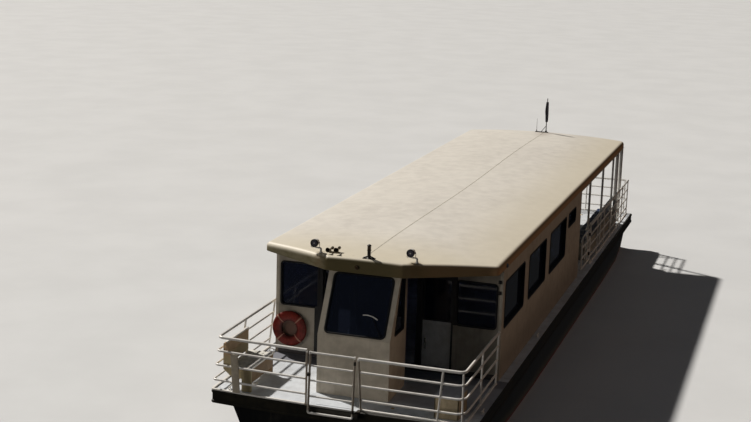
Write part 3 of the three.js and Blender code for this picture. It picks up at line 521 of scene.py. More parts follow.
def new_group(name, inputs, outputs):
    """Empty shader node group; returns its tree, its inputs as values and its output node."""
    tree = bpy.data.node_groups.new(name, "ShaderNodeTree")
    for label, kind, value in inputs:
        socket = tree.interface.new_socket(label, in_out="INPUT", socket_type=kind)
        socket.default_value = value
    for label, kind in outputs:
        tree.interface.new_socket(label, in_out="OUTPUT", socket_type=kind)
    given = tree.nodes.new("NodeGroupInput").outputs
    values = [Value(tree, given[label]) for label, _, _ in inputs]
    return tree, values, tree.nodes.new("NodeGroupOutput")


def weathering_group():
    """Soft blotches and vertical runs of grime over a paint, and a fine unevenness of its skin."""
    tree, (paint, grime, blotches, runs, scale), result = new_group("weathering", [
        ("Paint", COLOUR, (1, 1, 1, 1)), ("Grime", COLOUR, (0.1, 0.08, 0.05, 1)),
        ("Blotches", FLOAT, 0.3), ("Runs", FLOAT, 0.3), ("Scale", FLOAT, 1.0),
    ], [("Color", COLOUR), ("Dirt", FLOAT), ("Height", FLOAT)])
    small = noise(tree, scale * 7.3, 5, 0.6)
    cloud = (noise(tree, scale, 6) * small).ramp(0.16, 0.42)
    streaks = noise(tree, 1.0, 5, 0.62, (9, 9, 0.35)).ramp(0.52, 0.78)
    dirt = (cloud * blotches + streaks * runs).maths("MINIMUM", 1.0)
    tone = small.ramp(0.3, 0.7, 0.0, 0.12).mix(paint, (0.0, 0.0, 0.0))
    fed(result, {"Color": dirt.mix(tone, grime), "Dirt": dirt, "Height": noise(tree, 55.0, 3)})


def spots_group():
    """Scattered specks, as rust or chips: the core of Voronoi cells that a noise picks out."""
    tree, (scale, share), result = new_group(
        "spots", [("Scale", FLOAT, 20.0), ("Share", FLOAT, 0.3)], [("Mask", FLOAT)])
    cells = put(tree, "ShaderNodeTexVoronoi", {"Vector": place(tree), "Scale": scale}, "Distance")
    picked = noise(tree, 2.3, 3).ramp(0.75 - share, 0.85)
    fed(result, {"Mask": cells.ramp(0.12, 0.3, 1.0, 0.0) * picked})


def seams_group():
    """Lines across the boat at an even spacing: distance from the nearest multiple along X."""
    tree, (spacing, width), result = new_group(
        "seams", [("Spacing", FLOAT, 1.2), ("Width", FLOAT, 0.006)], [("Mask", FLOAT)])
    far = axes(tree)[0].maths("PINGPONG", spacing * 0.5)
    fed(result, {"Mask": far.ramp(width, width * 2.0, 1.0, 0.0)})


def group(tree, name, **inputs):
    """Outputs of one of the shared effects, by name, made with its own values."""
    node = tree.nodes.new("ShaderNodeGroup")
    node.node_tree = bpy.data.node_groups[name]
    return {socket.name: Value(tree, socket) for socket in fed(node, inputs).outputs}


def shader(name):
    """New material: its node tree and its shader."""
    material = bpy.data.materials.new(name)
    material.use_nodes = True
    return material.node_tree, material.node_tree.nodes["Principled BSDF"]


def painted(name, paint, grime, blotches, runs, scale, rough, rust=0.0, grain=0.15, metallic=0.0,
            coat=0.0, zone=None):
    """Weathered paint, rougher where it is dirty. A zone is given the colour so far, and returns
    it with part of the surface repainted."""
    tree, bsdf = shader(name)
    worn = group(tree, "weathering", Paint=opaque(paint), Grime=opaque(grime), Blotches=blotches,
                 Runs=runs, Scale=scale)
    tint = zone(worn["Color"]) if zone else worn["Color"]
    if rust:
        specks = group(tree, "spots", Scale=9.0, Share=rust)["Mask"]
        tint = (specks * 0.8).mix(tint, (0.12, 0.045, 0.015))
    fed(bsdf, {
        "Base Color": tint, "Roughness": worn["Dirt"].ramp(0.0, 1.0, rough, min(1.0, rough + 0.3)),
        "Normal": bump(tree, worn["Height"], grain), "Metallic": metallic, "Coat Weight": coat})
    return tree, bsdf


def bottom_zone(red, tint):
    """Dull red below the waterline, with a scummy line where the water stands."""
    wavy = axes(tint.tree)[2] + noise(tint.tree, 3.0) * 0.06
    tint = wavy.ramp(0.07, 0.1, 1.0, 0.0).mix(tint, red)
    scum = wavy.ramp(0.08, 0.12) * wavy.ramp(0.12, 0.3, 0.55, 0.0)
    return scum.mix(tint, (0.1, 0.105, 0.07))


def black_above(level, black, tint):
    """Black frames above a level on the doors."""
    return axes(tint.tree)[2].ramp(level - 0.002, level + 0.002).mix(tint, black)


def front_zone(level, black, tint):
    """Painted shadow of the lifebuoy, brown on the wall behind its hole; black beside the wheelhouse
    above a level, between the doorways, in a strip along each doorway's outer edge that is wider to
    starboard; and a dark band along the wall's foot, just above the deck."""
    _, y, z = axes(tint.tree)
    # Painted shadow: dark brown where the wall shows through the lifebuoy's hole
    tint = buoy_distance(tint.tree).ramp(0.1, 0.3, 0.92, 0.0).mix(tint, (0.1, 0.04, 0.025))
    above = y.maths("ABSOLUTE").ramp(1.468, 1.472, 1.0, 0.0) * z.ramp(level, level + 0.004)
    strip = y.maths("LESS_THAN", 1.4) * y.over(-1.53) * z.over(1.1)
    # A dark band along the wall's foot, just above the deck
    low_band = z.ramp(DECK + 0.11, DECK + 0.12, 0.9, 0.0)
    return low_band.mix(above.most(strip).mix(tint, black), (0.03, 0.028, 0.036))


def buoy_distance(tree):
    """Distance from the lifebuoy's centre, across the front wall."""
    low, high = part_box("lifebuoy")
    _, y, z = axes(tree)
    return span(y - (low.y + high.y) / 2, z - (low.z + high.z) / 2)


def painted_hollow_shade(low, high, shade, tint):
    """Painted shade, darker towards the lifebuoy's hole where the ring turns away from the light."""
    return buoy_distance(tint.tree).ramp(low, high, 0.8, 0.0).mix(tint, shade)


def gate_zone(brown, tint):
    """Browned paint on the uprights at either side of the bow gate, below the top rails."""
    x, y, z = axes(tint.tree)
    near = []
    for upright, stile in ((BOW_RAIL["port"]["gate"], GATE["hinge"]),
                           (-BOW_RAIL["starboard"]["gate"], GATE["latch"])):
        off = (y - (upright + stile) / 2).maths("ABSOLUTE")
        reach = abs(upright - stile) / 2 + 0.024
        near.append(off.ramp(reach, reach + 0.008, 1.0, 0.0))
    low = z.ramp(DECK + RAIL_TOP - 0.06, DECK + RAIL_TOP - 0.03, 0.85, 0.0)
    high = z.ramp(DECK - 0.08, DECK - 0.04)
    return (near[0].most(near[1]) * x.over(9.9) * low * high).mix(tint, brown)


def olive_shade_below(level, tint):
    """Painted shade: brown boards that turn olive towards their feet."""
    return axes(tint.tree)[2].ramp(level - 0.06, level + 0.06, 0.9, 0.0).mix(tint, (0.42, 0.36, 0.22))


def painted_shade_below(level, tint):
    """Painted shade that darkens the walls from the deck to just below the windows, its edge made wavy.
    """
    wavy = axes(tint.tree)[2] + noise(tint.tree, 1.0, stretch=(0.6, 0.6, 1)) * 0.5
    return wavy.ramp(level - 0.6, level + 0.25, 0.6, 0.0).mix(tint, (0.13, 0.1, 0.07))


def deck_zone(plate, tint):
    """Scuffed, its plates shown by seams, with painted shade, bluish dark, before the cabin's front and
    the port doorway, and a dark painted shade along the bow's rim to port of the gate."""
    x, y, _ = axes(tint.tree)
    scuff = noise(tint.tree, 1.1, 8, 0.7, (1.2, 2.6, 1)).ramp(0.5, 0.72)
    tint = (scuff * 0.2).mix(tint, (0.2, 0.19, 0.17))
    seams = group(tint.tree, "seams", Spacing=plate, Width=0.004)["Mask"]
    tint = (seams * 0.6).mix(tint, (0.1, 0.09, 0.08))
    # Painted shade to port of the wheelhouse and before the cabin's front
    port = y.ramp(0.6, 0.9) * x.ramp(9.2, 9.7, 0.5, 0.0)
    painted_shade = port.most(x.ramp(7.8, 8.05, 0.8, 0.0)) * x.over(CABIN_FRONT)
    tint = painted_shade.mix(tint, (0.1, 0.1, 0.13))
    # Painted shade along the bow's rim to port of the gate
    rim = x.ramp(10.055, 10.065) * y.ramp(0.3, 0.36)
    return rim.mix(tint, (0.03, 0.028, 0.024))


def roof_zone(fascia, tint):
    """Wide faint patches; ochre towards the bow and to port; a dark fascia, partly weathering and partly
    painted shade, browner and orange round to port with painted warm reflected light; darker brown
    patches by the searchlights' feet, and rust round the staff's."""
    x, y, z = axes(tint.tree)
    wide = noise(tint.tree, 1.0, 4, stretch=(0.2, 0.5, 1)).ramp(0.35, 0.7)
    tint = (wide * 0.3).mix(tint, (0.82, 0.79, 0.72))
    ochre = x.ramp(6.0, 8.8, 0.0, 0.8).most(y.ramp(0.6, 2.4, 0.0, 0.7))
    tint = ochre.mix(tint, (0.62, 0.56, 0.43))
    camber = y * y * (ROOF_RISE / (ROOF_HALF - ROOF_ROUND) ** 2)
    drop = ROOF_EDGE + ROOF_RISE - (z + camber)
    brow = x.ramp(7.7, 7.95) * y.ramp(-1.15, -0.75)
    flank = y.ramp(2.2, 2.35)
    worn = noise(tint.tree, 1.0, 5, 0.65, (3, 3, 9))
    # Painted shade with weathering: the fascia darkens below the round-over
    side = drop.ramp(0.025, 0.12, 0.0, 0.95) + worn.ramp(0.35, 0.7, -0.12, 0.04)
    side = side.most(brow.most(flank) * drop.ramp(0.0, 0.04, 0.0, 0.97)).most(0.0)
    dark = brow.mix(fascia, (0.11, 0.087, 0.035))
    # Browner on the front's port part and orange on the port flank: painted warm reflected light
    dark = (brow * y.ramp(0.4, 1.4)).mix(dark, (0.21, 0.13, 0.055))
    dark = (flank * drop.ramp(0.03, 0.09, 0.35, 1.0)).mix(dark, (0.42, 0.25, 0.12))
    tint = side.mix(tint, dark)
    # Darker brown patches about the searchlights' feet
    for lamp in (0.96, -0.96):
        spot = span(x - 8.72, (y - lamp) * 1.6).ramp(0.05, 0.28, 0.9, 0.0)
        tint = (spot * worn.ramp(0.3, 0.6)).mix(tint, (0.16, 0.11, 0.05))
    stain = span(x + 8.2, y * 2.2).ramp(0.1, 0.9, 0.5, 0.0) * noise(tint.tree, 4.0)
    return stain.mix(tint, (0.16, 0.07, 0.03))


def deck_finish(paint, plate):
    """Pale non-slip paint, its grit a fine bump."""
    tree, bsdf = painted("deck", paint, (0.3, 0.28, 0.25), 0.25, 0.0, 0.5, 0.6,
                         zone=partial(deck_zone, plate))
    fed(bsdf, {"Normal": bump(tree, noise(tree, 260.0, 2), 0.35)})


def glass_finish(tint):
    """Dark tinted glass with a faint film of dust."""
    tree, bsdf = shader("glass")
    dust = noise(tree, 1.7, 6, 0.6)
    film = dust.ramp(0.45, 0.9, 0.0, 0.12)
    fed(bsdf, {
        "Base Color": film.mix(tint, (0.1, 0.11, 0.13)), "Metallic": 0.0,
        "Roughness": dust.ramp(0.4, 0.8, 0.03, 0.12), "Transmission Weight": 0.75, "IOR": 1.35})


def cloth_finish(paint):
    """Woven bunting: two crossed waves make the threads, and folds show paler where worn."""
    tree, bsdf = shader("flag")
    worn = noise(tree, 12.0, 4).ramp(0.45, 0.8, 0.0, 0.5)
    threads = [put(tree, "ShaderNodeTexWave", {"Vector": place(tree), "Scale": 160.0}, 1,
                   bands_direction=axis) for axis in ("Z", "DIAGONAL")]
    fed(bsdf, {
        "Base Color": worn.mix(paint, (0.05, 0.05, 0.075)), "Roughness": 0.85,
        "Normal": bump(tree, threads[0] + threads[1], 0.3, 0.001), "Sheen Weight": 0.3})


BY_SLOT = {
    "hull_paint": "hull", "engine_paint": "grey enamel", "deck_paint": "deck",
    "cabin_paint": "cabin", "door_paint": "door", "tinted_glass": "glass",
    "strake_paint": "strake", "bronze": "bronze", "dark_steel": "dark steel",
    "roof_paint": "roof", "console_plastic": "console", "seat_cover": "seat",
    "rail_paint": "rail", "locker_top": "locker top", "lifebuoy_shell": "lifebuoy",
    "flag_cloth": "flag",
}
BY_NODE = {
    "front_bulkhead": "cabin front", "aft_door": "white panel",
    "side_wall_port": "cabin side", "side_wall_starboard": "cabin side",
}


class FERRY_OT_finishes(bpy.types.Operator):
    """Makes every material and gives one to each solid that stays in sight"""
    bl_idname = "ferry.finishes"
    bl_label = "Finishes"

    def execute(self, context):
        paint = context.scene.ferry_paint
        black = paint.rubber
        # The front bulkhead's paint is the cabin cream made darker: painted shade of its recess under
        # the roof
        recess_shaded_cabin = [0.68 * share for share in paint.cabin[:3]]
        soot, dust, film = (0.2, 0.165, 0.11), (0.2, 0.17, 0.12), (0.1, 0.1, 0.11)
        weathering_group()
        spots_group()
        seams_group()
        deck_finish(paint.deck, context.scene.ferry_sizes.plate)
        glass_finish(paint.glass)
        cloth_finish(paint.flag)
        rows = (
            ("roof", paint.roof, (0.4, 0.36, 0.3), 0.1, 0.0, 0.45, 0.55,
             {"rust": 0.06, "zone": partial(roof_zone, paint.fascia)}),
            ("cabin", paint.cabin, soot, 0.22, 0.3, 0.7, 0.42, {"rust": 0.06}),
            # Side walls: darker towards the deck, painted shade
            ("cabin side", paint.cabin, soot, 0.22, 0.3, 0.7, 0.42,
             {"rust": 0.06, "zone": partial(painted_shade_below, 2.0)}),
            # Front bulkhead: its darker cream is painted shade
            ("cabin front", recess_shaded_cabin, (0.16, 0.13, 0.09), 0.22, 0.3, 0.7, 0.42,
             {"rust": 0.06, "zone": partial(front_zone, 2.085, black)}),
            ("door", paint.door, dust, 0.15, 0.25, 0.9, 0.4,
             {"zone": partial(black_above, 2.105, black)}),
            ("white panel", paint.door, dust, 0.15, 0.25, 0.9, 0.4, {}),
            ("hull", paint.hull, (0.06, 0.055, 0.045), 0.35, 0.35, 0.6, 0.42,
             {"rust": 0.15, "zone": partial(bottom_zone, paint.bottom)}),
            ("strake", paint.strake, (0.05, 0.042, 0.028), 0.4, 0.1, 1.3, 0.55, {"grain": 0.5}),
            ("rail", paint.rail, (0.34, 0.24, 0.14), 0.08, 0.12, 1.2, 0.26,
             {"rust": 0.12, "coat": 0.3, "zone": partial(gate_zone, paint.post)}),
            # Apron and leg: brown painted shade
            ("apron shade brown", paint.apron_shade, (0.1, 0.065, 0.035), 0.45, 0.35, 1.1, 0.6, {"grain": 0.4}),
            # Bench back and end boards: their brown, olive lower down, is painted shade
            ("bench end", (0.56, 0.4, 0.25), (0.25, 0.17, 0.1), 0.4, 0.35, 1.1, 0.6,
             {"grain": 0.4, "zone": partial(olive_shade_below, DECK + 0.66)}),
            ("post board", (0.6, 0.53, 0.42), (0.16, 0.13, 0.09), 0.35, 0.35, 1.1, 0.6,
             {"grain": 0.4}),
            ("bench board", paint.bench, (0.14, 0.13, 0.115), 0.3, 0.1, 1.4, 0.55, {}),
            ("rubber", black, (0.05, 0.048, 0.044), 0.2, 0.2, 2.0, 0.5, {}),
            ("dark steel", paint.steel, (0.1, 0.075, 0.05), 0.35, 0.1, 2.5, 0.42, {"rust": 0.2}),
            ("grey enamel", (0.26, 0.28, 0.29), (0.06, 0.055, 0.05), 0.35, 0.2, 1.0, 0.45, {}),
            ("bronze", (0.42, 0.28, 0.12), (0.08, 0.1, 0.06), 0.4, 0.1, 3.0, 0.35,
             {"metallic": 1.0}),
            ("bright steel", (0.55, 0.55, 0.54), (0.2, 0.18, 0.15), 0.2, 0.1, 3.0, 0.25,
             {"metallic": 1.0}),
            ("console", (0.06, 0.062, 0.066), (0.12, 0.11, 0.1), 0.2, 0.05, 2.0, 0.5,
             {"grain": 0.6}),
            ("dial", (0.5, 0.5, 0.48), (0.3, 0.3, 0.28), 0.15, 0.0, 9.0, 0.3, {}),
            ("seat", paint.seat, (0.09, 0.1, 0.12), 0.25, 0.05, 2.2, 0.36, {"grain": 0.4}),
            ("bench base", (0.34, 0.32, 0.27), (0.12, 0.1, 0.07), 0.3, 0.25, 1.0, 0.5, {}),
            ("locker top", paint.locker, (0.3, 0.29, 0.26), 0.3, 0.0, 1.4, 0.5, {}),
            ("locker side", (0.4, 0.33, 0.22), (0.12, 0.1, 0.06), 0.3, 0.35, 1.2, 0.5, {}),
            # The lifebuoy darkens towards its hole: painted shade
            ("lifebuoy", paint.buoy, (0.045, 0.012, 0.008), 0.75, 0.1, 5.0, 0.5,
             {"zone": partial(painted_hollow_shade, 0.17, 0.235, (0.035, 0.006, 0.004))}),
            ("band", paint.band, (0.2, 0.1, 0.07), 0.4, 0.1, 6.0, 0.7, {}),
            ("lens", (0.2, 0.22, 0.25), film, 0.1, 0.0, 6.0, 0.08, {"coat": 0.6}),
            ("smoked lens", (0.06, 0.035, 0.015), (0.1, 0.1, 0.1), 0.1, 0.0, 6.0, 0.1, {"coat": 0.6}),
            ("lamp glass", (0.11, 0.105, 0.13), film, 0.1, 0.0, 6.0, 0.06, {"coat": 0.8}),
            ("lamp body", (0.74, 0.73, 0.7), dust, 0.2, 0.15, 3.0, 0.35, {}),
            ("horn", (0.2, 0.165, 0.11), (0.05, 0.04, 0.03), 0.35, 0.1, 4.0, 0.25,
             {"metallic": 0.6}),
            ("sealant", (0.52, 0.49, 0.41), dust, 0.5, 0.0, 1.2, 0.7, {}),
        )
        for name, tint, grime, blotches, runs, scale, rough, more in rows:
            painted(name, tint, grime, blotches, runs, scale, rough, **more)
        for row in frame["record"]["subparts"]:
            name = BY_NODE.get(row["node"], BY_SLOT[row["material_slot"]])
            frame["nodes"][row["node"]].material_slots[0].material = bpy.data.materials[name]
        return {"FINISHED"}


# Roof

def roof_top(y):
    """Height of the camber: a parabola across the boat, flat beyond its rounded edges."""
    flat = ROOF_HALF - ROOF_ROUND
    return ROOF_EDGE + ROOF_RISE * (1 - np.minimum(1, (y / flat) ** 2))


def roof_edge(inset):
    """Starboard half of the roof's plan from aft to forward, its corners rounded, drawn in."""
    bend = 0.13
    corners = [(ROOF_AFT, 0), (ROOF_AFT, -ROOF_HALF), (ROOF_FRONT, -ROOF_HALF),
               (ROOF_BROW, -BROW_HALF), (ROOF_BROW, 0)]
    path = split(rounded(corners, bend, 4), 0.35)
    # The first and last rows across the boat make its straight ends, so their middles are left out
    path = path[path[:, 1] < 0.12 - BROW_HALF]
    path = path[~((path[:, 0] < ROOF_AFT + 1e-6) & (path[:, 1] > bend - ROOF_HALF + 1e-4))]
    before = unit(np.diff(path, axis=0, prepend=[(ROOF_AFT, path[0, 1] + 1)]))
    after = unit(np.diff(path, axis=0, append=[(ROOF_BROW, path[-1, 1] + 1)]))
    inward = np.stack([-before[:, 1] - after[:, 1], before[:, 0] + after[:, 0]], -1)
    return path + inset * inward / (1 + (before * after).sum(1))[:, None]


def crown(plan):
    """Height of the roof over a plan: its camber and a slight ripple of its plates."""
    x, y = plan[..., 0], plan[..., 1]
    return roof_top(y) + 0.0016 * np.sin(x * 2.6 + y) * np.sin(y * 3.1)


def raised(plan, z):
    """Points of a plan at one height, or at a height each."""
    return np.concatenate([plan, np.broadcast_to(z, plan.shape[:-1])[..., None]], -1)


def roof_shell():
    """Crown and soffit are grids of plan lines scaled across the boat; the edge between them is a
    band of rings: a lip, an upright fascia, then a quarter round up to the camber."""
    share = np.linspace(-1, 1, 25)

    def field(inset):
        edge = roof_edge(inset)
        x = np.broadcast_to(edge[:, :1], (len(edge), len(share)))
        return np.stack([x, -edge[:, 1:] * share], -1)

    def ring(inset):
        plan = field(inset)
        return np.concatenate(
            [plan[:, 0], plan[-1, 1:-1], plan[::-1, -1], plan[0, -2:0:-1], plan[:1, 0]])

    middle = field(ROOF_ROUND)
    rim = crown(ring(ROOF_ROUND))
    lip = [(0.03, CEILING), (0.006, CEILING), (0.0, CEILING + 0.008)]
    round_over = [(ROOF_ROUND * (1 - math.cos(turn)), rim - ROOF_ROUND * (1 - math.sin(turn)))
                  for turn in np.linspace(0, np.pi / 2, 8)]
    band = [raised(ring(inset), z) for inset, z in lip + round_over]
    return joined([grid(raised(middle, crown(middle))),
                   turned_over(grid(raised(field(0.03), CEILING))), grid(np.stack(band, 1))])


def ridge_bead():
    """Flat bead of sealant down the ridge that wanders a little, as a slow sine."""
    x = np.linspace(ROOF_AFT + 0.12, ROOF_BROW - 0.12, 120)
    y = 0.03 * np.sin(x * 0.55 + 1.0) - 0.04
    return sweep(np.column_stack([x, y, roof_top(y) + GAP]), circle(0.011, 8, 0.35), UP)


class FERRY_OT_roof(bpy.types.Operator):
    """The long cambered roof with its ridge bead, and the ribs and lamps of the after ceiling"""
    bl_idname = "ferry.roof"
    bl_label = "Roof"

    def execute(self, context):
        make("roof_skin", [("roof", roof_shell()), ("sealant", ridge_bead())],
             replaces=["roof"])
        ribs = [rounded_box((x - 0.02, -2.3, CEILING - 0.035), (x + 0.02, 2.3, CEILING + 0.004), 0.006)
                for x in np.arange(ROOF_AFT + 0.35, CABIN_AFT - 0.2, 0.78)]
        lamp = [(0, -0.052), (0.06, -0.04), (0.08, -0.012), (0.075, 0), (0, 0)]
        lamps = [revolved(lamp, (x, 0, CEILING), UP, 24) for x in (-6.9, -4.6, -2.3)]
        make("after_deck_ceiling", [("cabin", joined(ribs)), ("lens", joined(lamps))])
        return {"FINISHED"}


# Hull

def deck_edge(inset):
    """Deck outline, anticlockwise from above: straight sides, rounded corners, a bow that bulges
    as a parabola."""
    y = HALF_BEAM - inset
    r = 0.06 - inset / 2
    x0, x1 = STERN + inset, BOW - inset
    lead = r * BOW_BULGE / HALF_BEAM
    nose = x1 + lead
    curves = [((x0, -y + r), (x0, -y), (x0 + r, -y)),
              ((x1 - r, -y), (x1, -y), (nose, -y + r)),
              ((nose, -y + r), (x1 + 2 * BOW_BULGE - lead, 0), (nose, y - r)),
              ((nose, y - r), (x1, y), (x1 - r, y)),
              ((x0 + r, y), (x0, y), (x0, y - r))]
    t = np.linspace(0, 1, 10)[:, None]
    bends = [(1 - t) ** 2 * a + 2 * t * (1 - t) * b + t ** 2 * c for a, b, c in np.array(curves)]
    return np.concatenate([bends[0], bends[1][:-1], bends[2][:-1], *bends[3:]])


def strake_shell():
    """Closed run of a flat face between two half-round beads, carried round the deck's edge."""
    inset, deep, tall = 0.03, 0.018, 0.03
    edge = deck_edge(inset)
    edge = split(np.vstack([edge, edge[:1]]), 0.4)[:-1]
    path = np.column_stack([edge, np.full(len(edge), DECK - STRAKE_DEPTH / 2)])
    half = STRAKE_DEPTH / 2
    turn = np.linspace(-np.pi / 2, np.pi / 2, 9)
    beads = [np.stack([deep - inset - deep * np.cos(turn), at + tall * np.sin(turn)], -1)
             for at in (tall - half, half - tall)]
    section = np.concatenate([*beads, [(inset, half)], [(inset, -half)], beads[0][:1]])[::-1]
    return sweep(path, section, UP, closed=True)


def cleat_shell():
    """Two feet under a bar whose ends taper and turn up."""
    t = np.linspace(-1, 1, 25)
    path = np.column_stack([0.11 * t, 0 * t, 0.052 + 0.012 * t ** 4])
    radius = 0.012 * np.sqrt(np.clip(1.02 - t ** 6, 0, 1))
    turn = np.linspace(0, 2 * np.pi, 13)[:, None]
    ring = np.stack([0 * turn * t, np.cos(turn) * radius, np.sin(turn) * radius], -1)
    foot = revolved([(0, 0), (0.03, 0), (0.026, 0.006), (0.012, 0.012), (0.011, 0.05), (0, 0.05)],
                    ORIGIN, UP, 16)
    return joined([grid(path[None] + ring), copies(foot, [(-0.035, 0, 0), (0.035, 0, 0)])])


class FERRY_OT_hull(bpy.types.Operator):
    """The rubbing strake with its two beads, and the deck's cleats and filler caps"""
    bl_idname = "ferry.hull"
    bl_label = "Strake and deck fittings"

    def execute(self, context):
        make("rubbing_strake", [("strake", strake_shell())],
             replaces=["strake"])
        places = [(9.3, 2.52), (9.92, -2.3), (-9.1, 2.25), (-9.1, -2.25), (4.2, 2.5), (4.2, -2.5)]
        make("deck_cleats", [("rail", copies(cleat_shell(), [(x, y, DECK) for x, y in places]))])
        filler = revolved([(0.036, 0), (0.034, 0.003), (0.028, 0.006), (0, 0.006)], ORIGIN, UP, 20)
        spots = [(-8.9, 1.2), (-8.9, -1.2), (8.2, -2.15), (9.7, 0.9)]
        make("deck_fillers", [("bronze", copies(filler, [(x, y, DECK + GAP) for x, y in spots]))])
        return {"FINISHED"}


# Windows and doors

# Each opening's sides along the wall, then its sill and head; the quarter window's corners
SIDE_WINDOWS = (
    (5.425, 7.2, 2.09, 3.02), (3.15, 4.93, 2.09, 3.02), (0.71, 2.64, 2.09, 3.02),
    (-0.58, 0.375, 2.7, 3.02),
)
FRONT_WINDOW = (1.47, 2.26, 2.11, 3.0)
AFT_WINDOW = (0.9, 1.93, 2.09, 3.02)
QUARTER_WINDOW = ((8.57, 2.265), (9.144, 2.265), (8.79, 3.285), (8.57, 3.285))
CORNER = 0.06
LAP = 0.006
PROUD = 0.012


def window_path(window, radius, origin, u, v=UP):
    """Closed rounded rectangle in the plane of u and v."""
    a0, a1, b0, b1 = window
    flat = rounded([(a0, b0), (a1, b0), (a1, b1), (a0, b1)], radius, 5, closed=True)
    return np.asarray(origin) + flat[:, :1] * u + flat[:, 1:] * v


def seal(path, normal, width, reach=0.026):
    """Rubber seal: a flat lip on the wall's face that laps the opening's edge."""
    section = bar_section(width, PROUD + reach, 0.004) + (0, (PROUD - reach) / 2)
    return sweep(path, section, normal, closed=True)


def opening_seal(window, radius, origin, u, v, normal, width, **more):
    """Seal round an opening, centred just outside the opening's edge."""
    out = width / 2 - LAP
    path = window_path(np.add(window, (-out, out, -out, out)), radius + out, origin, u, v)
    return seal(path, normal, width, **more)


def wiper(knee, rake, out):
    """Arm from a pivot low on the windscreen to a blade that bows up the pane as a parabola."""
    pivot = knee + (0, 0.5, 0) + rake * 0.1 + out * 0.012
    low, high = (knee + (0, y, 0) + rake * along + out * 0.014
                 for y, along in ((0.11, 0.46), (0.41, 0.4)))
    t = np.linspace(-1, 1, 15)[:, None]
    blade = (low + high) / 2 + (high - low) / 2 * t + rake * 0.03 * (1 - t ** 2)
    cap = [(0, 0), (0.02, 0), (0.018, 0.014), (0, 0.018)]
    arm = joined([tube([pivot, blade[9]], 0.006), revolved(cap, pivot - out * 0.008, out, 16)])
    return arm, sweep(blade, bar_section(0.022, 0.012, 0.003), out)


class FERRY_OT_windows(bpy.types.Operator):
    """Black seals round every window, and the windscreen's wiper"""
    bl_idname = "ferry.windows"
    bl_label = "Window seals"

    def execute(self, context):
        wide = context.scene.ferry_sizes.gasket
        seals = []
        for _, side in SIDES:
            across = side * PORT
            for window in SIDE_WINDOWS:
                seals.append(opening_seal(window, CORNER, CABIN_HALF * across, AHEAD, UP, across, wide,
                                          reach=WALL - 0.002))
            for window, x, out in ((FRONT_WINDOW, CABIN_FRONT, AHEAD), (AFT_WINDOW, CABIN_AFT, -AHEAD)):
                seals.append(opening_seal(window, CORNER, x * AHEAD, across, UP, out, wide))
        make("window_seals", [("rubber", joined(seals))])
        knee = np.array([POD_FRONT, 0, POD_KNEE])
        run = np.array([POD_TOP_X - POD_FRONT, 0, CEILING - POD_KNEE])
        rake, out = unit(run), unit(np.cross(PORT, run))
        screen = (-0.585, 0.585, 0.062, np.linalg.norm(run) - 0.05)
        rubber = [opening_seal(screen, 0.07, knee, PORT, rake, out, wide)]
        for _, side in SIDES:
            flat = rounded(QUARTER_WINDOW, 0.03, 4, closed=True)
            path = np.column_stack([flat[:, 0], np.full(len(flat), side * POD_HALF), flat[:, 1]])
            rubber.append(seal(path, side * PORT, wide))
        arm, blade = wiper(knee, rake, out)
        make("windscreen_seals", [("rubber", joined([*rubber, arm])), ("lamp body", blade)])
        return {"FINISHED"}


class FERRY_OT_doors(bpy.types.Operator):
    """Pulls, a lever and window seals on the doors, each riding on its own leaf"""
    bl_idname = "ferry.doors"
    bl_label = "Door fittings"

    def execute(self, context):
        for name, side in SIDES:
            low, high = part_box(f"front_door_{name}")
            x = high.x
            window = window_path((low.y + 0.04, high.y - 0.04, 2.125, 2.99), CORNER, x * AHEAD, PORT)
            y = min(low.y, high.y, key=abs) + side * 0.08
            pull = [rounded_box((x - 0.002, y - 0.02, 1.5), (x + 0.003, y + 0.02, 1.75), 0.0015),
                    rounded_box((x, y - 0.012, 1.52), (x + 0.0045, y + 0.012, 1.53), 0.001)]
            make(f"door_fittings_{name}", [
                ("rubber", sweep(window, bar_section(0.022, 0.01, 0.003), AHEAD, closed=True)),
                ("bright steel", joined(pull)),
            ], body=f"{name}_front_door")
        low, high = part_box("aft_door")
        x, y, z = low.x, low.y + 0.09, 2.05
        window = window_path((low.y + 0.17, high.y - 0.17, 2.0, 2.9), CORNER, x * AHEAD, PORT)
        knob = revolved([(0, 0), (0.024, 0), (0.024, 0.006), (0.01, 0.01), (0.01, 0.045), (0, 0.045)],
                        (x, y, z), -AHEAD, 18)
        lever = tube([(x - 0.04, y, z), (x - 0.04, y + 0.11, z)], 0.009)
        make("aft_door_fittings", [
            ("rubber", sweep(window, bar_section(0.03, 0.014, 0.004), -AHEAD, closed=True)),
            ("bright steel", joined([knob, lever])),
        ], body="cabin_aft_door")
        return {"FINISHED"}


# Wheelhouse and seats

def seat_shell(width):
    """Moulded seat facing +X: a profile that runs from the front lip over the pan and up the back,
    dished across its width by a parabola and thickened to a closed shell."""
    corners = [(0.42, -0.05), (0.42, 0.0), (0.06, -0.015), (0.0, 0.42), (-0.03, 0.44)]
    profile = split(rounded(corners, 0.045, 5), 0.06)
    v = np.linspace(-1, 1, 11)
    depth = 0.022 * (1 - v[None] ** 2)
    run = unit(np.gradient(profile, axis=0))
    normal = np.stack([-run[:, 1], run[:, 0]], -1)
    fade = np.sin(np.linspace(0, np.pi, len(profile)))[:, None]
    plan = profile[:, None] + normal[:, None] * (depth * fade)[..., None]
    half = width / 2 * (1 - 0.1 * np.linspace(0, 1, len(profile)) ** 2)
    outer = np.stack([plan[..., 0], half[:, None] * v[None], plan[..., 1]], -1)
    thick = 0.008
    inner = outer - np.stack([normal[:, 0], 0 * normal[:, 0], normal[:, 1]], -1)[:, None] * thick
    return capped(np.concatenate([outer, inner[:, ::-1], outer[:, :1]], 1))


def facing(angle, origin):
    """Turn about the upright axis and move."""
    return Matrix.Translation(origin) @ Matrix.Rotation(angle, 4, "Z")


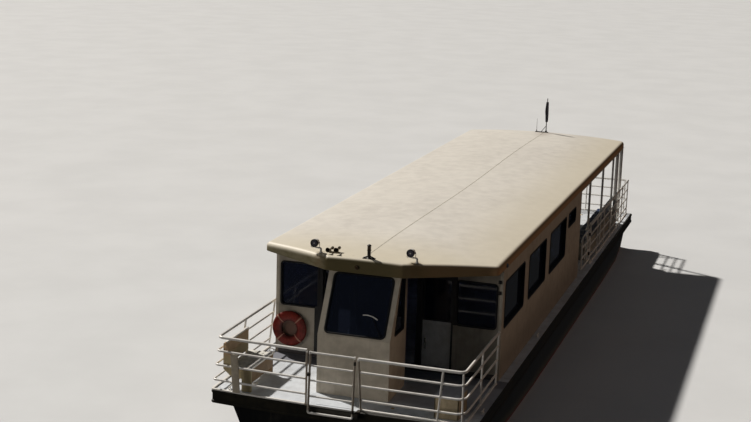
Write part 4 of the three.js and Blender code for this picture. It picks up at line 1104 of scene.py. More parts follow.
def bench(x0, x1, back, side, pitch):
    """Closed plinth along the side with a row of moulded seats that face inboard."""
    front = 1.84
    plinth = rounded_box((x0, side * front, STAND), (x1, side * (back - 0.005), DECK + 0.4), 0.012)
    low_band = rounded_box((x0 + 0.01, side * (front - 0.01), STAND),
                       (x1 - 0.01, side * (front + 0.01), DECK + 0.09), 0.004)
    count = int((x1 - x0) / pitch)
    first = (x0 + x1 - (count - 1) * pitch) / 2
    one = placed(seat_shell(pitch - 0.03), facing(-side * math.pi / 2, ORIGIN))
    seats = copies(one, [(first + k * pitch, side * (back - 0.06), DECK + 0.425) for k in range(count)])
    cap = tube([(x, side * (back - 0.03), DECK + 0.83) for x in (x0 + 0.05, x1 - 0.05)], 0.016)
    return [("bench base", plinth), ("rubber", low_band), ("seat", seats), ("rail", cap)]


class FERRY_OT_seats(bpy.types.Operator):
    """Rows of moulded seats in the cabin and on the after deck"""
    bl_idname = "ferry.seats"
    bl_label = "Seats"

    def execute(self, context):
        pitch = context.scene.ferry_sizes.seat_pitch
        for name, side in SIDES:
            make(f"cabin_seat_row_{name}", bench(-1.1, 6.9, 2.29, side, pitch),
                 replaces=[f"cabin_seats_{name}"])
            make(f"aft_seat_row_{name}", bench(-8.25, -3.1, 2.27, side, pitch),
                 replaces=[f"aft_bench_{name}"])
        return {"FINISHED"}


def helm_seat():
    """Round foot, column and a moulded bucket."""
    x, z = 8.05, DECK
    column = revolved([(0, 0.001), (0.22, 0.001), (0.22, 0.012), (0.06, 0.032), (0.038, 0.05),
                       (0.038, 0.3), (0.05, 0.31), (0.05, 0.48), (0.15, 0.49), (0, 0.49)],
                      (x, 0, z), UP)
    shell = seat_shell(0.46)
    bucket = placed((shell[0] * (1.1, 1, 1.22), shell[1]), facing(0, (x - 0.23, 0, z + 0.51)))
    return [("dark steel", column), ("seat", bucket)]


# Console: ends of its sloping top, its back and foot along X, and each gauge's x, y and radius
SLOPE_LOW, SLOPE_HIGH = np.array((8.73, 0, 1.92)), np.array((9.13, 0, 2.09))
CONSOLE_BACK, CONSOLE_FOOT = 9.3, 8.83
GAUGES = ((8.9, -0.3, 0.05), (8.9, -0.16, 0.05), (8.9, 0.0, 0.065), (8.9, 0.17, 0.05),
          (9.04, -0.23, 0.035), (9.04, 0.09, 0.035))


def console_shell():
    """The console's side outline carried across the wheelhouse as a panel with rounded edges."""
    floor = DECK + GAP
    outline = rounded([(CONSOLE_FOOT, floor), (CONSOLE_BACK, floor), (CONSOLE_BACK, 2.08),
                       SLOPE_HIGH[::2], SLOPE_LOW[::2], (SLOPE_LOW[0], 1.77), (CONSOLE_FOOT, 1.72)],
                      0.015, 3, closed=True)
    return panel(outline[::-1, ::-1], 1, -0.6, 0.6, 0.012)


def dial(x, y, radius):
    """Round gauge lying on the console's sloping top: rim, face and needle."""
    run = SLOPE_HIGH - SLOPE_LOW
    slope = unit(run)
    out = np.cross(slope, PORT)
    at = SLOPE_LOW + run * (x - SLOPE_LOW[0]) / run[0] + y * PORT
    rim = [(radius * 0.86, 0.004), (radius, 0.004), (radius, 0.014), (radius * 0.9, 0.016),
           (radius * 0.86, 0.01), (radius * 0.86, 0.004)]
    face = [(0, 0.001), (radius * 0.88, 0.001), (radius * 0.88, 0.007), (0, 0.007)]
    needle = tube([at + out * 0.009, at + out * 0.009 + slope * radius * 0.7], 0.0018, steps=6)
    return [("dark steel", revolved(rim, at, out, 24)), ("dial", revolved(face, at, out, 24)),
            ("lifebuoy", needle)]


def hoop(centre, radius, steps, thick):
    """Round bar bent into a ring that stands across the boat."""
    turn = np.linspace(0, 2 * np.pi, steps + 1)[:-1]
    path = np.asarray(centre) + radius * np.stack([0 * turn, np.cos(turn), np.sin(turn)], -1)
    return tube(path, thick, AHEAD, closed=True)


class FERRY_OT_wheelhouse(bpy.types.Operator):
    """Console with its gauges and levers, the helm wheel and the helm seat"""
    bl_idname = "ferry.wheelhouse"
    bl_label = "Wheelhouse"

    def execute(self, context):
        shells = [("console", console_shell())]
        for gauge in GAUGES:
            shells += dial(*gauge)
        knob = [(0, 0), (0.016, 0.006), (0.02, 0.02), (0.012, 0.036), (0, 0.04)]
        for y in (0.34, 0.42):
            shells += [("bright steel", tube([(8.9, y, 1.98), (8.87, y, 2.14)], 0.007)),
                       ("rubber", revolved(knob, (8.872, y, 2.13), (-0.18, 0, 1), 16))]
        make("helm_console_top", shells, replaces=["helm_console"])
        make("helm_seat", helm_seat(), replaces=["pilot_seat"])
        centre = np.array((8.67, 0, 1.65))
        tips = [centre + 0.205 * np.array((0, math.sin(a), math.cos(a)))
                for a in np.arange(3) * 2 * np.pi / 3]
        spokes = [sweep([centre, tip], bar_section(0.024, 0.008, 0.003), AHEAD) for tip in tips]
        hub = [(0, -0.03), (0.03, -0.026), (0.04, -0.01), (0.034, 0.02), (0.03, 0.15), (0, 0.15)]
        make("helm_wheel_rim", [
            ("rubber", hoop(centre, 0.21, 48, 0.014)),
            ("bright steel", joined([revolved(hub, centre, AHEAD, 24), *spokes])),
        ], body="helm_wheel", replaces=["helm_wheel"])
        return {"FINISHED"}


# Each column's x and radius
COLUMNS = ((-2.85, 0.03), (-5.0, 0.03), (-6.86, 0.03), (-7.65, 0.05), (-8.46, 0.05))


class FERRY_OT_columns(bpy.types.Operator):
    """Posts and headers that carry the roof over the after deck"""
    bl_idname = "ferry.columns"
    bl_label = "After deck posts"

    def execute(self, context):
        top = CEILING - DECK - GAP
        for name, side in SIDES:
            y = side * (CABIN_HALF - WALL / 2)
            posts = []
            for x, r in COLUMNS:
                foot = [(0, GAP), (r + 0.03, GAP), (r + 0.03, 0.008), (r + 0.004, 0.012), (r, 0.02)]
                head = [(r, top - 0.02), (r + 0.004, top - 0.012), (r + 0.02, top - 0.006),
                        (r + 0.02, top), (0, top)]
                posts.append(revolved(foot + head, (x, y, DECK), UP, 20))
            header = rounded_box((ROOF_AFT + 0.03, y - 0.03, CEILING - 0.075),
                                 (CABIN_AFT - GAP, y + 0.03, CEILING - GAP), 0.008)
            make(f"roof_posts_{name}", [("rail", joined(posts)), ("cabin", header)],
                 replaces=[f"aft_columns_{name}"])
        return {"FINISHED"}


# Rails

# Pairs are values at the deck and at the top rail: the side run's y, the front run's x, the
# corner's radius and the front posts' y.
BOW_RAIL = {
    "port": {"y": (2.365, 2.385), "x": (10.04, 10.24), "bend": (0.22, 0.11), "bulge": 0.0,
             "aft": 7.6, "gate": 0.386, "side": (7.625, 8.9),
             "front": ((0.386, 0.386), (1.85, 1.985)), "corner_post": True},
    "starboard": {"y": (2.61, 2.48), "x": (10.04, 10.03), "bend": (0.06, 0.1), "bulge": BOW_BULGE,
                  "aft": 7.2, "gate": 0.66, "side": (7.225, 8.745),
                  "front": ((0.66, 0.66),), "corner_post": False},
}


def between(pair, height):
    """Value at a height, on a straight line from the deck to the top rail."""
    return pair[0] + (pair[1] - pair[0]) * height / RAIL_TOP


def rail_x(run, height, y):
    """Front line of a bow rail: straight, or a parabola that follows the deck's edge."""
    return between(run["x"], height) + run["bulge"] * (1 - (y / HALF_BEAM) ** 2)


def rail_corner(run, height, share):
    """Point of the corner at a share of its quarter circle."""
    bend = between(run["bend"], height)
    y = between(run["y"], height) - bend
    turn = np.asarray(share) * np.pi / 2
    return rail_x(run, height, y) - bend + bend * np.sin(turn), y + bend * np.cos(turn)


def bow_run(run, side, height):
    """One level from the cabin forward, round a quarter circle and in to the gate."""
    x, y = rail_corner(run, height, np.linspace(0, 1, 11))
    inward = np.linspace(y[-1], run["gate"], 9)[1:]
    front = np.column_stack([rail_x(run, height, inward), inward])
    plan = np.vstack([[(run["aft"], y[0])], np.column_stack([x, y]), front])
    return np.column_stack([plan[:, 0], side * plan[:, 1], np.full(len(plan), DECK + height)])


def bow_posts(run):
    """Foot and head of each post of a bow rail, drawn for port."""
    ends = [((x, between(run["y"], 0)), (x, between(run["y"], RAIL_TOP))) for x in run["side"]]
    ends += [((rail_x(run, 0, low), low), (rail_x(run, RAIL_TOP, high), high))
             for low, high in run["front"]]
    if run["corner_post"]:
        ends.append((rail_corner(run, 0, 0.5), rail_corner(run, RAIL_TOP, 0.5)))
    return [((*low, STAND), (*high, DECK + RAIL_TOP)) for low, high in ends]


def post(foot, head, radius):
    """Straight post with a small base plate and a weld collar."""
    collar = [(0, 0), (radius + 0.014, 0), (radius + 0.012, 0.006), (radius, 0.014), (0, 0.014)]
    return joined([tube([foot, head], radius), revolved(collar, foot, UP, 16)])


def toe_bar(path):
    """Flat bar that lies on the deck's edge under the rails."""
    return sweep(path, bar_section(TOE["width"], TOE["height"], 0.006), UP)


def broad_post():
    """Flat post before the starboard front rails, leaning outboard, with rounded edges."""
    foot, lean, half, low, high = -2.085, -0.05, 0.075, DECK + 0.02, DECK + 0.77
    x = rail_x(BOW_RAIL["starboard"], 0, foot) + 0.009
    outline = [(foot - half, low), (foot + half, low), (foot + half + lean, high),
               (foot - half + lean, high)]
    return panel(rounded(outline, 0.02, 4, closed=True), 0, x, x + 0.02, 0.004)


def gate_plate():
    """Bent plate that carries the gate's hinge: flat on the deck, then down over the bow."""
    x0, x1 = rail_x(BOW_RAIL["port"], 0, BOW_RAIL["port"]["gate"]), BOW + BOW_BULGE + 0.09
    y0, y1, top = GATE["hinge"] + 0.045, BOW_RAIL["port"]["gate"] + 0.015, DECK + 0.015
    return joined([rounded_box((x0, y0, top - 0.01), (x1, y1, top), 0.003),
                   rounded_box((x1 - 0.085, y0, DECK - 0.1), (x1, y1, top), 0.003)])


class FERRY_OT_bow_rails(bpy.types.Operator):
    """Pipe rails round the foredeck and the gate between them"""
    bl_idname = "ferry.bow_rails"
    bl_label = "Bow rails"

    def execute(self, context):
        sizes = context.scene.ferry_sizes
        for name, side in SIDES:
            run = BOW_RAIL[name]
            shells = [toe_bar(bow_run(run, side, TOE["height"] / 2 + GAP)),
                      tube(bow_run(run, side, RAIL_TOP), sizes.top_rail, UP, 16)]
            shells += [tube(bow_run(run, side, h), sizes.rail, UP) for h in RAIL_LEVELS]
            shells += [post(*np.multiply(ends, (1, side, 1)), sizes.post) for ends in bow_posts(run)]
            extra = ("dark steel", gate_plate()) if side > 0 else ("post board", broad_post())
            make(f"bow_rail_pipes_{name}", [("rail", joined(shells)), extra],
                 replaces=[f"bow_rail_{name}_side", f"bow_rail_{name}_front"])
        self.gate()
        return {"FINISHED"}

    def gate(self):
        """Pipe frame that leans aft, with four pipes across, two hinge knuckles and a latch."""
        rise = RAIL_TOP - GATE["foot"]
        width = GATE["latch"] - GATE["hinge"]
        foot = np.array((GATE["x"], GATE["hinge"], DECK + GATE["foot"]))

        def at(height, y):
            return foot + (-GATE["lean"] * (height - GATE["foot"]) / rise, y, height - GATE["foot"])

        normal = unit((rise, 0, GATE["lean"]))
        corners = [at(RAIL_TOP, 0), at(GATE["foot"], 0), at(GATE["foot"], width), at(RAIL_TOP, width)]
        shells = [tube(rounded(corners, 0.03, 5), 0.022, normal, 14)]
        shells += [tube([at(h, 0), at(h, width)], 0.018) for h in (*RAIL_LEVELS, RAIL_TOP - 0.02)]
        knuckles = [tube([at(h, 0.001), at(h + 0.07, 0.001)], 0.0245, steps=14) for h in (-0.02, 0.9)]
        catch = at(0.62, width - 0.012)
        latch = rounded_box(catch - 0.03, catch + 0.03, 0.006)
        make("bow_gate_frame", [("rail", joined(shells)), ("dark steel", joined([*knuckles, latch]))],
             body="bow_gate", replaces=["bow_gate"])


def straight_rail(start, end, spans, sizes):
    """Rail along a line: flat toe bar, three pipes, a top pipe and even posts."""
    start, end = np.array((*start, DECK)), np.array((*end, DECK))

    def at(t, h):
        return start + (end - start) * t + (0, 0, h)

    def level(h):
        return [at(0, h), at(1, h)]

    inset = 0.025 / np.linalg.norm(end - start)
    shells = [toe_bar(level(TOE["height"] / 2)), tube(level(RAIL_TOP), sizes.top_rail, steps=16)]
    shells += [tube(level(h), sizes.rail) for h in RAIL_LEVELS]
    shells += [post(at(t, STAND - DECK), at(t, RAIL_TOP), sizes.post)
               for t in inset + (1 - 2 * inset) * np.arange(spans + 1) / spans]
    return joined(shells)


class FERRY_OT_aft_rails(bpy.types.Operator):
    """Rails along the after deck and across the stern, and the two boarding gates"""
    bl_idname = "ferry.aft_rails"
    bl_label = "After rails and gates"

    def execute(self, context):
        sizes = context.scene.ferry_sizes
        for name, side in SIDES:
            y = side * AFT_RAIL["y"]
            shell = straight_rail((AFT_RAIL["front"], y), (AFT_RAIL["aft"], y), 6, sizes)
            make(f"aft_rail_pipes_{name}", [("rail", shell)],
                 replaces=[f"aft_rail_{name}"])
            self.boarding_gate(name, y, sizes)
        x = AFT_RAIL["aft"] + 0.02
        half = AFT_RAIL["y"] - 0.06
        make("stern_rail_pipes", [("rail", straight_rail((x, -half), (x, half), 4, sizes))],
             replaces=["stern_rail"])
        return {"FINISHED"}

    def boarding_gate(self, name, y, sizes):
        """Round-cornered pipe frame with two pipes across and two dark sleeves on its hinge side."""
        x0, x1 = BOARDING["hinge"], BOARDING["latch"]
        low, high = DECK + BOARDING["low"], DECK + BOARDING["high"]
        corners = [(x0, y, low), (x1, y, low), (x1, y, high), (x0, y, high)]
        shells = [tube(rounded(corners, 0.07, closed=True), sizes.post, PORT, 14, closed=True)]
        shells += [tube([(x0, y, DECK + h), (x1, y, DECK + h)], sizes.rail)
                   for h in BOARDING["levels"]]
        grips = [tube([(x0, y, z), (x0, y, z + 0.08)], 0.0235, steps=14)
                 for z in (low + 0.12, high - 0.2)]
        make(f"boarding_gate_frame_{name}",
             [("rail", joined(shells)), ("dark steel", joined(grips))],
             body=f"{name}_boarding_gate", replaces=[f"boarding_gate_{name}"])


# Foredeck

class FERRY_OT_foredeck(bpy.types.Operator):
    """Bench on the starboard side, locker on the port side and the lifebuoy"""
    bl_idname = "ferry.foredeck"
    bl_label = "Foredeck furniture"

    def execute(self, context):
        self.bench()
        self.locker()
        self.lifebuoy()
        return {"FINISHED"}

    def bench(self):
        """Boarded seat over an apron, a leg and a sloping end board, with a boarded back."""
        x0, x1, y0, y1 = 8.72, 9.9, -2.4, -1.88
        seat, end = DECK + 0.43, x1 + 0.01
        boards = [rounded_box((x0, y, seat - 0.04), (end, y + 0.168, seat), 0.008)
                  for y in y0 + 0.174 * np.arange(3)]
        strip = rounded_box((x0, y1 - 0.1, seat - 0.004), (end, y1 + 0.012, seat + 0.024), 0.005)
        cap = rounded_box((x0 + 0.07, y0 - 0.045, DECK + 0.885),
                          (x1 - 0.05, y0 + 0.004, DECK + 0.917), 0.006)
        foot = rounded_box((9.46, -1.99, STAND), (9.56, -1.905, DECK + 0.05), 0.005)
        loop = hoop((x0 + 0.05, y1 - 0.03, seat + 0.055), 0.045, 24, 0.008)
        # Apron and leg take the brown that is painted shade
        apron = rounded_box((x0 + 0.05, y1 - 0.02, seat - 0.27), (end, y1, seat - 0.003), 0.005)
        leg = rounded_box((x0 + 0.05, y0 + 0.06, STAND), (x0 + 0.08, y1, seat - 0.039), 0.005)
        back = [rounded_box((x0 + 0.07, y0 - 0.03, z), (end, y0, z + 0.228), 0.006)
                for z in DECK + 0.45 + 0.232 * np.arange(2)]
        struts = [rounded_box((x, y0 - 0.03, seat - 0.04), (x + 0.06, y0 + 0.005, DECK + 0.57), 0.005)
                  for x in (x0 + 0.1, x1 - 0.2)]
        outline = [(y0 - 0.03, DECK + 0.4), (y0 + 0.15, DECK + 0.25), (y1 - 0.17, DECK + 0.25),
                   (y1 - 0.17, STAND), (y1 + 0.03, STAND), (y1 + 0.03, seat),
                   (y0 + 0.2, seat + 0.03), (y0 + 0.01, DECK + 0.915), (y0 - 0.03, DECK + 0.915)]
        side = end_board(rounded(outline, 0.02, 4, closed=True), x1, x1 + 0.03)
        make("foredeck_bench_boards", [
            ("bench board", joined(boards)), ("rail", joined([strip, cap, foot, loop])),
            ("apron shade brown", joined([apron, leg])), ("bench end", joined([*back, *struts, side])),
        ], replaces=["foredeck_bench"])

    def locker(self):
        """Framed box with a lid that laps over it, a hasp and a grip."""
        x0, x1, y0, y1 = 9.24, 9.87, 1.74, 2.2
        top, wall = DECK + 0.4, 0.025
        middle = (x0 + x1) / 2
        boards = [((x0, y0), (x1, y0 + wall)), ((x0, y1 - wall), (x1, y1)),
                  ((x0, y0), (x0 + wall, y1)), ((x1 - wall, y0), (x1, y1))]
        sides = [rounded_box((*low, STAND), (*high, top), 0.004) for low, high in boards]
        base = rounded_box((x0 + 0.01, y0 + 0.01, STAND), (x1 - 0.01, y1 - 0.01, DECK + 0.04), 0.004)
        hasp = rounded_box((middle - 0.02, y0 - 0.005, top - 0.1),
                           (middle + 0.02, y0 + 0.002, top - 0.05), 0.002)
        make("bow_locker_box", [("locker side", joined([*sides, base])), ("dark steel", hasp)],
             replaces=["bow_locker"])
        lid = rounded_box((x0 - 0.015, y0 - 0.015, top + 0.001),
                          (x1 + 0.015, y1 - 0.001, top + 0.03), 0.012)
        grip = rounded([(middle + x, y0 + 0.06, top + z) for x, z in
                        ((-0.06, 0.03), (-0.06, 0.05), (0.06, 0.05), (0.06, 0.03))], 0.012, 4)
        make("bow_locker_cover", [("locker top", lid), ("bright steel", tube(grip, 0.005, PORT))],
             body="locker_lid", replaces=["bow_locker_lid"])

    def lifebuoy(self):
        """Ring of oval section, with four bands whose edges dip under its skin."""
        low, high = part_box("lifebuoy")
        centre = np.array((low + high) / 2)
        outer, tall, thick = (high.z - low.z) / 2, 0.107, 0.054
        around = np.linspace(0, 2 * np.pi, 25)[None]

        def ring(turns, swell):
            t = turns[:, None]
            radius = outer - tall + (tall + swell) * np.cos(around)
            return centre + np.stack([(thick + swell) * np.sin(around) + 0 * t,
                                      radius * np.cos(t), radius * np.sin(t)], -1)

        shells = [("lifebuoy", turned_over(grid(ring(np.linspace(0, 2 * np.pi, 73), -0.001))))]
        for middle in np.pi / 4 + np.arange(4) * np.pi / 2:
            t = np.linspace(middle - 0.05, middle + 0.05, 7)
            band = np.concatenate([ring(t[:1], -0.004), ring(t, 0.0), ring(t[-1:], -0.004)])
            shells.append(("band", turned_over(grid(band))))
        make("lifebuoy_ring", shells, replaces=["lifebuoy"])


def end_board(outline, low, high):
    """Board with an L-shaped outline: two flat faces, filled as one polygon each, and its edge."""
    count = len(outline)
    rings = [np.column_stack([np.full(count, x), outline]) for x in (low, high)]
    at = np.arange(count)
    after = (at + 1) % count
    edge = np.stack([at, after, after + count, at + count], -1)
    return np.vstack(rings), [edge, at[None, ::-1], at[None] + count]


# Roof gear

STAFF = (-8.4, 0.025, float(roof_top(0)))


def searchlight(x, y):
    """Drum with a black rim, a domed lens and a stepped white back, in a yoke on a swivel foot."""
    low = float(roof_top(y)) + 0.004
    out, height = -0.115, 0.19
    centre = np.array((x, y + out, low + height))
    back = [(0, -0.095), (0.036, -0.09), (0.052, -0.076), (0.06, -0.06), (0.067, -0.05),
            (0.067, -0.035), (0.07, -0.03), (0.07, 0.05), (0, 0.05)]
    rim = [(0.06, 0.048), (0.078, 0.05), (0.078, 0.072), (0.07, 0.078), (0.06, 0.074), (0.06, 0.048)]
    turn = np.linspace(0, np.pi / 2, 7)[:-1]
    lens = [(0, 0.05), (0.062, 0.05), *zip(0.062 * np.cos(turn), 0.06 + 0.012 * np.sin(turn)),
            (0, 0.072)]
    foot = [(0, 0), (0.036, 0), (0.036, 0.008), (0.022, 0.014), (0.02, 0.085), (0, 0.085)]
    # A white boss standing proud of the lens's middle: a painted highlight for the small bright
    # reflection there
    lens_glint = [(0, 0.064), (0.016, 0.066), (0.013, 0.075), (0, 0.078)]
    arm = rounded([(x, y, low + 0.06), (x, y, low + 0.09), (x, y + out, low + 0.095)], 0.02, 5)
    yoke = rounded([(x, y + out + across, low + z) for across, z in
                    ((-0.086, height + 0.012), (-0.086, 0.092), (0.086, 0.092),
                     (0.086, height + 0.012))], 0.025, 5)
    knobs = [revolved([(0, 0), (0.016, 0), (0.018, 0.004), (0.014, 0.012), (0, 0.014)],
                      centre + side * 0.072 * PORT, side * PORT, 14) for side in (1, -1)]
    white = [revolved(back, centre, AHEAD, 36), revolved(foot, (x, y, low), UP, 24),
             tube(arm, 0.016, AHEAD), sweep(yoke, bar_section(0.006, 0.032, 0.0025), AHEAD),
             revolved(lens_glint, centre, AHEAD, 18)]
    return [("lamp body", joined(white)), ("rubber", revolved(rim, centre, AHEAD, 36)),
            ("lamp glass", revolved(lens, centre, AHEAD, 36)), ("dark steel", joined(knobs))]


def trumpet(base, y, z, turn):
    """Horn trumpet: a capped drum, then a bell that flares as a power of its length and comes
    back inside. It stands above its base on a short stem."""
    u = np.linspace(0, 1, 10)
    flare = 0.011 + 0.037 * u ** 3.2
    along = 0.19 * u - 0.04
    bell = [(0, -0.11), (0.026, -0.11), (0.03, -0.104), (0.03, -0.066), (0.024, -0.06), (0.011, -0.05),
            *zip(flare, along), *zip(flare[:1:-1] - 0.003, along[:1:-1] - 0.001), (0, 0)]
    stem = rounded_box(base + (-0.018, y - 0.01, 0.005), base + (0.018, y + 0.01, z - 0.008), 0.003)
    axis = (math.cos(turn), math.sin(turn), 0.04)
    return joined([revolved(bell, base + (0, y, z), axis, 28), stem])


class FERRY_OT_roof_gear(bpy.types.Operator):
    """Searchlights, horn, light post, staff with its furled flag, and the small lights"""
    bl_idname = "ferry.roof_gear"
    bl_label = "Roof gear"

    def execute(self, context):
        for name, x, y in (("port", 8.66, 0.967), ("starboard", 8.664, -0.965)):
            make(f"searchlight_head_{name}", searchlight(x, y), body=f"{name}_searchlight",
                 replaces=[f"searchlight_{name}"])
        base = np.array((8.59, -0.715, float(roof_top(-0.605))))
        plate = rounded_box(base + (-0.06, -0.11, 0.002), base + (0.04, 0.11, 0.012), 0.003)
        horn = joined([plate, trumpet(base, -0.075, 0.072, -0.06), trumpet(base, 0.075, 0.088, 0.06)])
        make("horn_trumpets", [("horn", horn)], replaces=["horn"])
        self.light_post()
        self.staff()
        self.flag()
        self.small_lights()
        return {"FINISHED"}

    def light_post(self):
        """Two-footed base and a stout dark post: ribbed lantern between a collar and a cap."""
        base = np.array((8.774, 0.049, float(roof_top(0))))
        plate = rounded_box(base + (-0.05, -0.12, 0.002), base + (0.05, 0.12, 0.012), 0.004)
        legs = [tube([base + (0, s * 0.11, 0.014), base + (0, s * 0.02, 0.05)], 0.012) for s in (1, -1)]
        column = [(0, 0.005), (0.046, 0.005), (0.046, 0.014), (0.034, 0.024), (0.034, 0.15),
                  (0.041, 0.158), (0.041, 0.17), (0, 0.17)]
        ribs = [(0.035 + 0.003 * (k % 2), 0.168 + 0.0085 * k) for k in range(10)]
        cap = [(0, 0.248), (0.041, 0.248), (0.042, 0.256), (0.036, 0.268), (0.018, 0.278), (0, 0.28)]
        make("light_post_lantern", [
            ("dark steel", joined([plate, *legs, *(revolved(p, base, UP, 24) for p in (column, cap))])),
            ("smoked lens", revolved([(0, 0.168), *ribs, (0, 0.25)], base, UP, 28)),
        ], replaces=["light_post"])

    def staff(self):
        """Staff with a truck at its top, an aerial and a strut on one plate, and a cleat."""
        base = np.array(STAFF)
        plate = rounded_box(base + (-0.06, -0.33, 0.002), base + (0.06, 0.06, 0.012), 0.004)
        pole = [(0, 0.005), (0.03, 0.005), (0.03, 0.05), (0.014, 0.06), (0.012, 1.0), (0.013, 1.02),
                (0.014, 1.03), (0.01, 1.045), (0, 1.045)]
        aerial = [(0, 0.005), (0.014, 0.005), (0.014, 0.06), (0.006, 0.07), (0.003, 0.415), (0, 0.415)]
        strut = tube([base + (0, -0.01, 0.19), base + (0, -0.15, 0.012)], 0.009)
        cleat = rounded_box(base + (-0.03, -0.008, 0.24), base + (-0.012, 0.008, 0.3), 0.003)
        shells = [plate, revolved(pole, base, UP, 18), revolved(aerial, base + (0, -0.29, 0), UP, 10),
                  strut, cleat]
        make("staff_pole", [("dark steel", joined(shells))],
             replaces=["flagstaff"])

    def flag(self):
        """Furled flag: its cloth goes nearly once round the staff in pleats, each a wave in and out,
        and swells between its bound ends."""
        pleats, turns = 5, 0.93
        s = np.linspace(0, 1, 150)[:, None]
        z = np.linspace(0, 1, 40)[None]
        swell = 0.35 + 0.65 * np.sin(np.pi * (0.12 + 0.8 * (1 - z))) ** 0.8
        inner = 0.0165
        depth = 0.036 * swell * (1 + 0.2 * np.sin(7 * s + 4 * z))
        radius = inner + depth * (0.5 - 0.5 * np.cos(2 * np.pi * pleats * s))
        angle = 2 * np.pi * turns * s + 0.35 * np.sin(2 * np.pi * z) * s
        height = 0.33 + 0.6 * z + 0.012 * np.sin(2 * np.pi * pleats * s) * (1 - z)
        cloth = np.stack([radius * np.cos(angle), radius * np.sin(angle), height + 0 * s], -1)
        flag = make("furled_flag_cloth", [("flag", grid(np.array(STAFF) + cloth))],
                    replaces=["furled_flag"], sharp=60)
        thick = flag.modifiers.new("Thickness", "SOLIDIFY")
        thick.thickness = 0.0012

    def small_lights(self):
        """Domed lights on the roof's fascia and two lamp brackets on the port front corner."""
        dome = [(0, 0), (0.045, 0), (0.045, 0.012), (0.034, 0.03), (0, 0.042)]
        edge = ROOF_HALF - 0.001
        make("fascia_lights", [
            ("smoked lens", revolved(dome, (ROOF_BROW - 0.001, -0.14, 3.455), AHEAD, 20)),
            ("lens", joined([revolved(dome, (7.304, side * edge, 3.39), side * PORT, 20)
                             for side in (1, -1)])),
        ])
        brackets = [rounded_box((CABIN_FRONT - 0.002, 2.285, z - 0.035),
                                (CABIN_FRONT + 0.03, 2.345, z + 0.035), 0.008) for z in (2.85, 3.07)]
        make("corner_brackets", [("dark steel", joined(brackets))])


# Stern gear

def propeller_blade():
    """One blade: oval sections of varying chord and pitch, wrapped round the shaft's axis."""
    root, tip = 0.06, 0.292
    r = np.linspace(root, tip, 16)[:, None]
    u = (r - root) / (tip - root)
    chord = 0.115 * np.sqrt(np.clip(1 - (1.55 * u - 0.62) ** 2, 0.0, 1)) + 0.004
    pitch = np.arctan2(0.3, r * 4.2)
    turn = np.linspace(0, 2 * np.pi, 21)[None]
    along = chord * np.cos(turn)
    thick = (0.014 - 0.009 * u) * np.sin(turn) * (1 - 0.25 * np.cos(turn))
    wrap = (along * np.cos(pitch) + thick * np.sin(pitch)) / r
    x = -along * np.sin(pitch) + thick * np.cos(pitch)
    return capped(np.stack([x, r * np.sin(wrap), r * np.cos(wrap)], -1))


def rudder_foil(x):
    """Rudder: a foil section behind a leading edge, drawn in a little at its head and foot."""
    t = np.linspace(0, 2 * np.pi, 41)[:, None]
    z = np.array([-0.98, -0.972, -0.3, -0.292])[None]
    inset = np.array([0.94, 1, 1, 0.94])[None]
    along = 0.15 - 0.47 * (0.5 - 0.5 * np.cos(t))
    across = 0.034 * np.sin(t) * (0.55 + 0.45 * np.cos(t)) + 0.004 * np.sin(t)
    foil = np.stack([along * inset + x, across * inset, z + 0 * t], -1)
    middle = foil.mean(0, keepdims=True).repeat(len(foil), 0)
    return grid(np.concatenate([middle[:, :1], foil, middle[:, -1:]], 1))


class FERRY_OT_stern_gear(bpy.types.Operator):
    """Propeller with twisted blades and the foil-shaped rudder"""
    bl_idname = "ferry.stern_gear"
    bl_label = "Propeller and rudder"

    def execute(self, context):
        centre = (-8.3, 0, -0.68)
        hub = [(0, -0.15), (0.03, -0.138), (0.052, -0.1), (0.078, 0), (0.08, 0.1), (0.06, 0.114),
               (0.03, 0.12), (0.03, 0.34), (0, 0.34)]
        blades = joined([placed(propeller_blade(), Matrix.Rotation(k * math.pi / 2, 4, "X"))
                         for k in range(4)])
        make("propeller_blades",
             [("bronze", joined([revolved(hub, centre, AHEAD, 28), copies(blades, [centre])]))],
             body="propeller", replaces=["propeller"])
        x = -8.95
        stock = revolved([(0, -0.4), (0.035, -0.4), (0.035, 0.2), (0, 0.2)], (x, 0, 0), UP, 24)
        make("rudder_blade", [("dark steel", rudder_foil(x)), ("bright steel", stock)],
             body="rudder", replaces=["rudder"])
        return {"FINISHED"}


# Stage

FLOOR_REACH = 1000.0


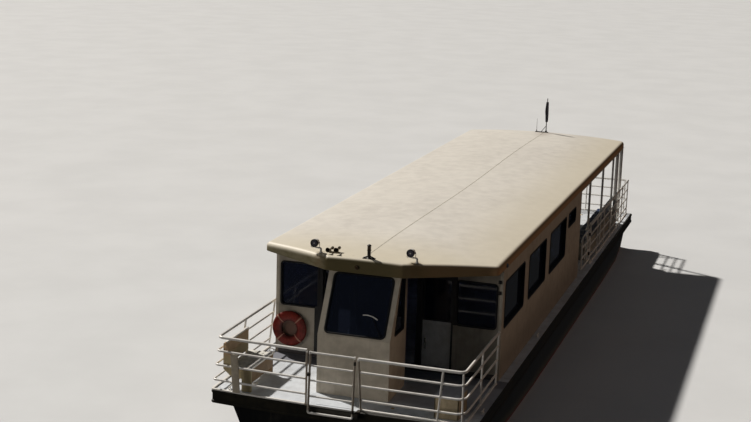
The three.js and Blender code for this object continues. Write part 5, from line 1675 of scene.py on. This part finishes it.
class FERRY_OT_stage(bpy.types.Operator):
    """Camera, pale floor at the waterline, a key light and wide soft fills"""
    bl_idname = "ferry.stage"
    bl_label = "Stage"

    def execute(self, context):
        view = context.scene.ferry_view
        forward = np.array((math.cos(view.pitch) * math.cos(view.yaw),
                            math.cos(view.pitch) * math.sin(view.yaw), math.sin(view.pitch)))
        right = unit(np.cross(forward, UP))
        up = np.cross(right, forward)
        right, up = (right * math.cos(view.roll) + up * math.sin(view.roll),
                     up * math.cos(view.roll) - right * math.sin(view.roll))
        camera = bpy.data.objects.new("camera", bpy.data.cameras.new("camera"))
        camera.data.lens = view.lens
        camera.data.clip_end = 2 * FLOOR_REACH
        turn = Matrix((Vector(right), Vector(up), Vector(-forward))).transposed().to_4x4()
        camera.matrix_world = Matrix.Translation(view.place) @ turn
        context.scene.collection.objects.link(camera)
        context.scene.camera = camera
        lamps = (("key", view.sun, 2.0, (1.0, 0.95, 0.88), (-0.32, -0.65, 0.69)),
                 ("front fill", view.front, 24.0, (1.0, 0.94, 0.87), (0.72, -0.69, 0.06)),
                 ("port fill", view.port, 50.0, (1.0, 0.62, 0.38), (-0.45, 0.88, 0.06)),
                 ("overhead", view.overhead, 120.0, (0.5, 0.75, 1.0), (0.0, 0.0, 1.0)))
        for name, strength, spread, tint, towards in lamps:
            lamp = bpy.data.objects.new(name, bpy.data.lights.new(name, "SUN"))
            lamp.data.energy = strength
            lamp.data.angle = math.radians(spread)
            lamp.data.color = tint
            lamp.rotation_euler = Vector(towards).to_track_quat("Z", "Y").to_euler()
            lamp.visible_glossy = not name.endswith("fill")
            context.scene.collection.objects.link(lamp)
        context.scene.view_settings.view_transform = "Standard"
        world = bpy.data.worlds.new("studio")
        world.use_nodes = True
        fed(world.node_tree.nodes["Background"], {"Color": (0.94, 0.97, 1.0, 1), "Strength": view.sky})
        context.scene.world = world
        t = np.linspace(0, 2 * np.pi, 65)[:, None]
        r = np.array([FLOOR_REACH, 30.0, 8.0, 0.0])[None]
        points, faces = turned_over(grid(np.stack([r * np.cos(t), r * np.sin(t), 0 * r * t], -1)))
        mesh = bpy.data.meshes.new("floor")
        mesh.from_pydata(points.tolist(), [], [corners for part in faces for corners in part.tolist()])
        tree, bsdf = shader("floor")
        paint = context.scene.ferry_paint.floor
        tone = noise(tree, 0.35, 5).ramp(0.3, 0.7)
        fed(bsdf, {"Base Color": tone.mix(paint, [0.94 * c for c in paint[:3]]), "Roughness": 0.85})
        mesh.materials.append(bpy.data.materials["floor"])
        floor = bpy.data.objects.new("floor", mesh)
        floor.visible_diffuse = floor.visible_glossy = False
        context.scene.collection.objects.link(floor)
        return {"FINISHED"}


class FERRY_PT_panel(bpy.types.Panel):
    """Buttons for each step, and the colours and sizes"""
    bl_idname = "FERRY_PT_panel"
    bl_label = "Passenger Ferry"
    bl_space_type = "VIEW_3D"
    bl_region_type = "UI"
    bl_category = "Ferry"

    def draw(self, context):
        column = self.layout.column()
        for step in STEPS:
            column.operator(step.bl_idname)
        for holder in ("ferry_paint", "ferry_sizes", "ferry_view"):
            values = getattr(context.scene, holder)
            for key in values.bl_rna.properties.keys():
                if key not in {"rna_type", "name"}:
                    column.prop(values, key)


STEPS = (
    FERRY_OT_stage, FERRY_OT_finishes, FERRY_OT_hull, FERRY_OT_roof, FERRY_OT_windows,
    FERRY_OT_doors, FERRY_OT_wheelhouse, FERRY_OT_seats, FERRY_OT_columns, FERRY_OT_bow_rails,
    FERRY_OT_aft_rails, FERRY_OT_foredeck, FERRY_OT_roof_gear, FERRY_OT_stern_gear,
)
HOLDERS = {"ferry_paint": FerryPaint, "ferry_sizes": FerrySizes, "ferry_view": FerryView}


def register():
    """Registers the classes and hangs the properties on the scene."""
    for kind in (*HOLDERS.values(), *STEPS, FERRY_PT_panel):
        bpy.utils.register_class(kind)
    for name, kind in HOLDERS.items():
        setattr(bpy.types.Scene, name, bpy.props.PointerProperty(type=kind))


def unregister():
    """Takes the properties and classes away again."""
    for name in HOLDERS:
        delattr(bpy.types.Scene, name)
    for kind in (FERRY_PT_panel, *reversed(STEPS), *HOLDERS.values()):
        bpy.utils.unregister_class(kind)


def main():
    """Runs every step in order."""
    register()
    for step in STEPS:
        area, name = step.bl_idname.split(".")
        getattr(getattr(bpy.ops, area), name)()


if __name__ == "__main__":
    main()
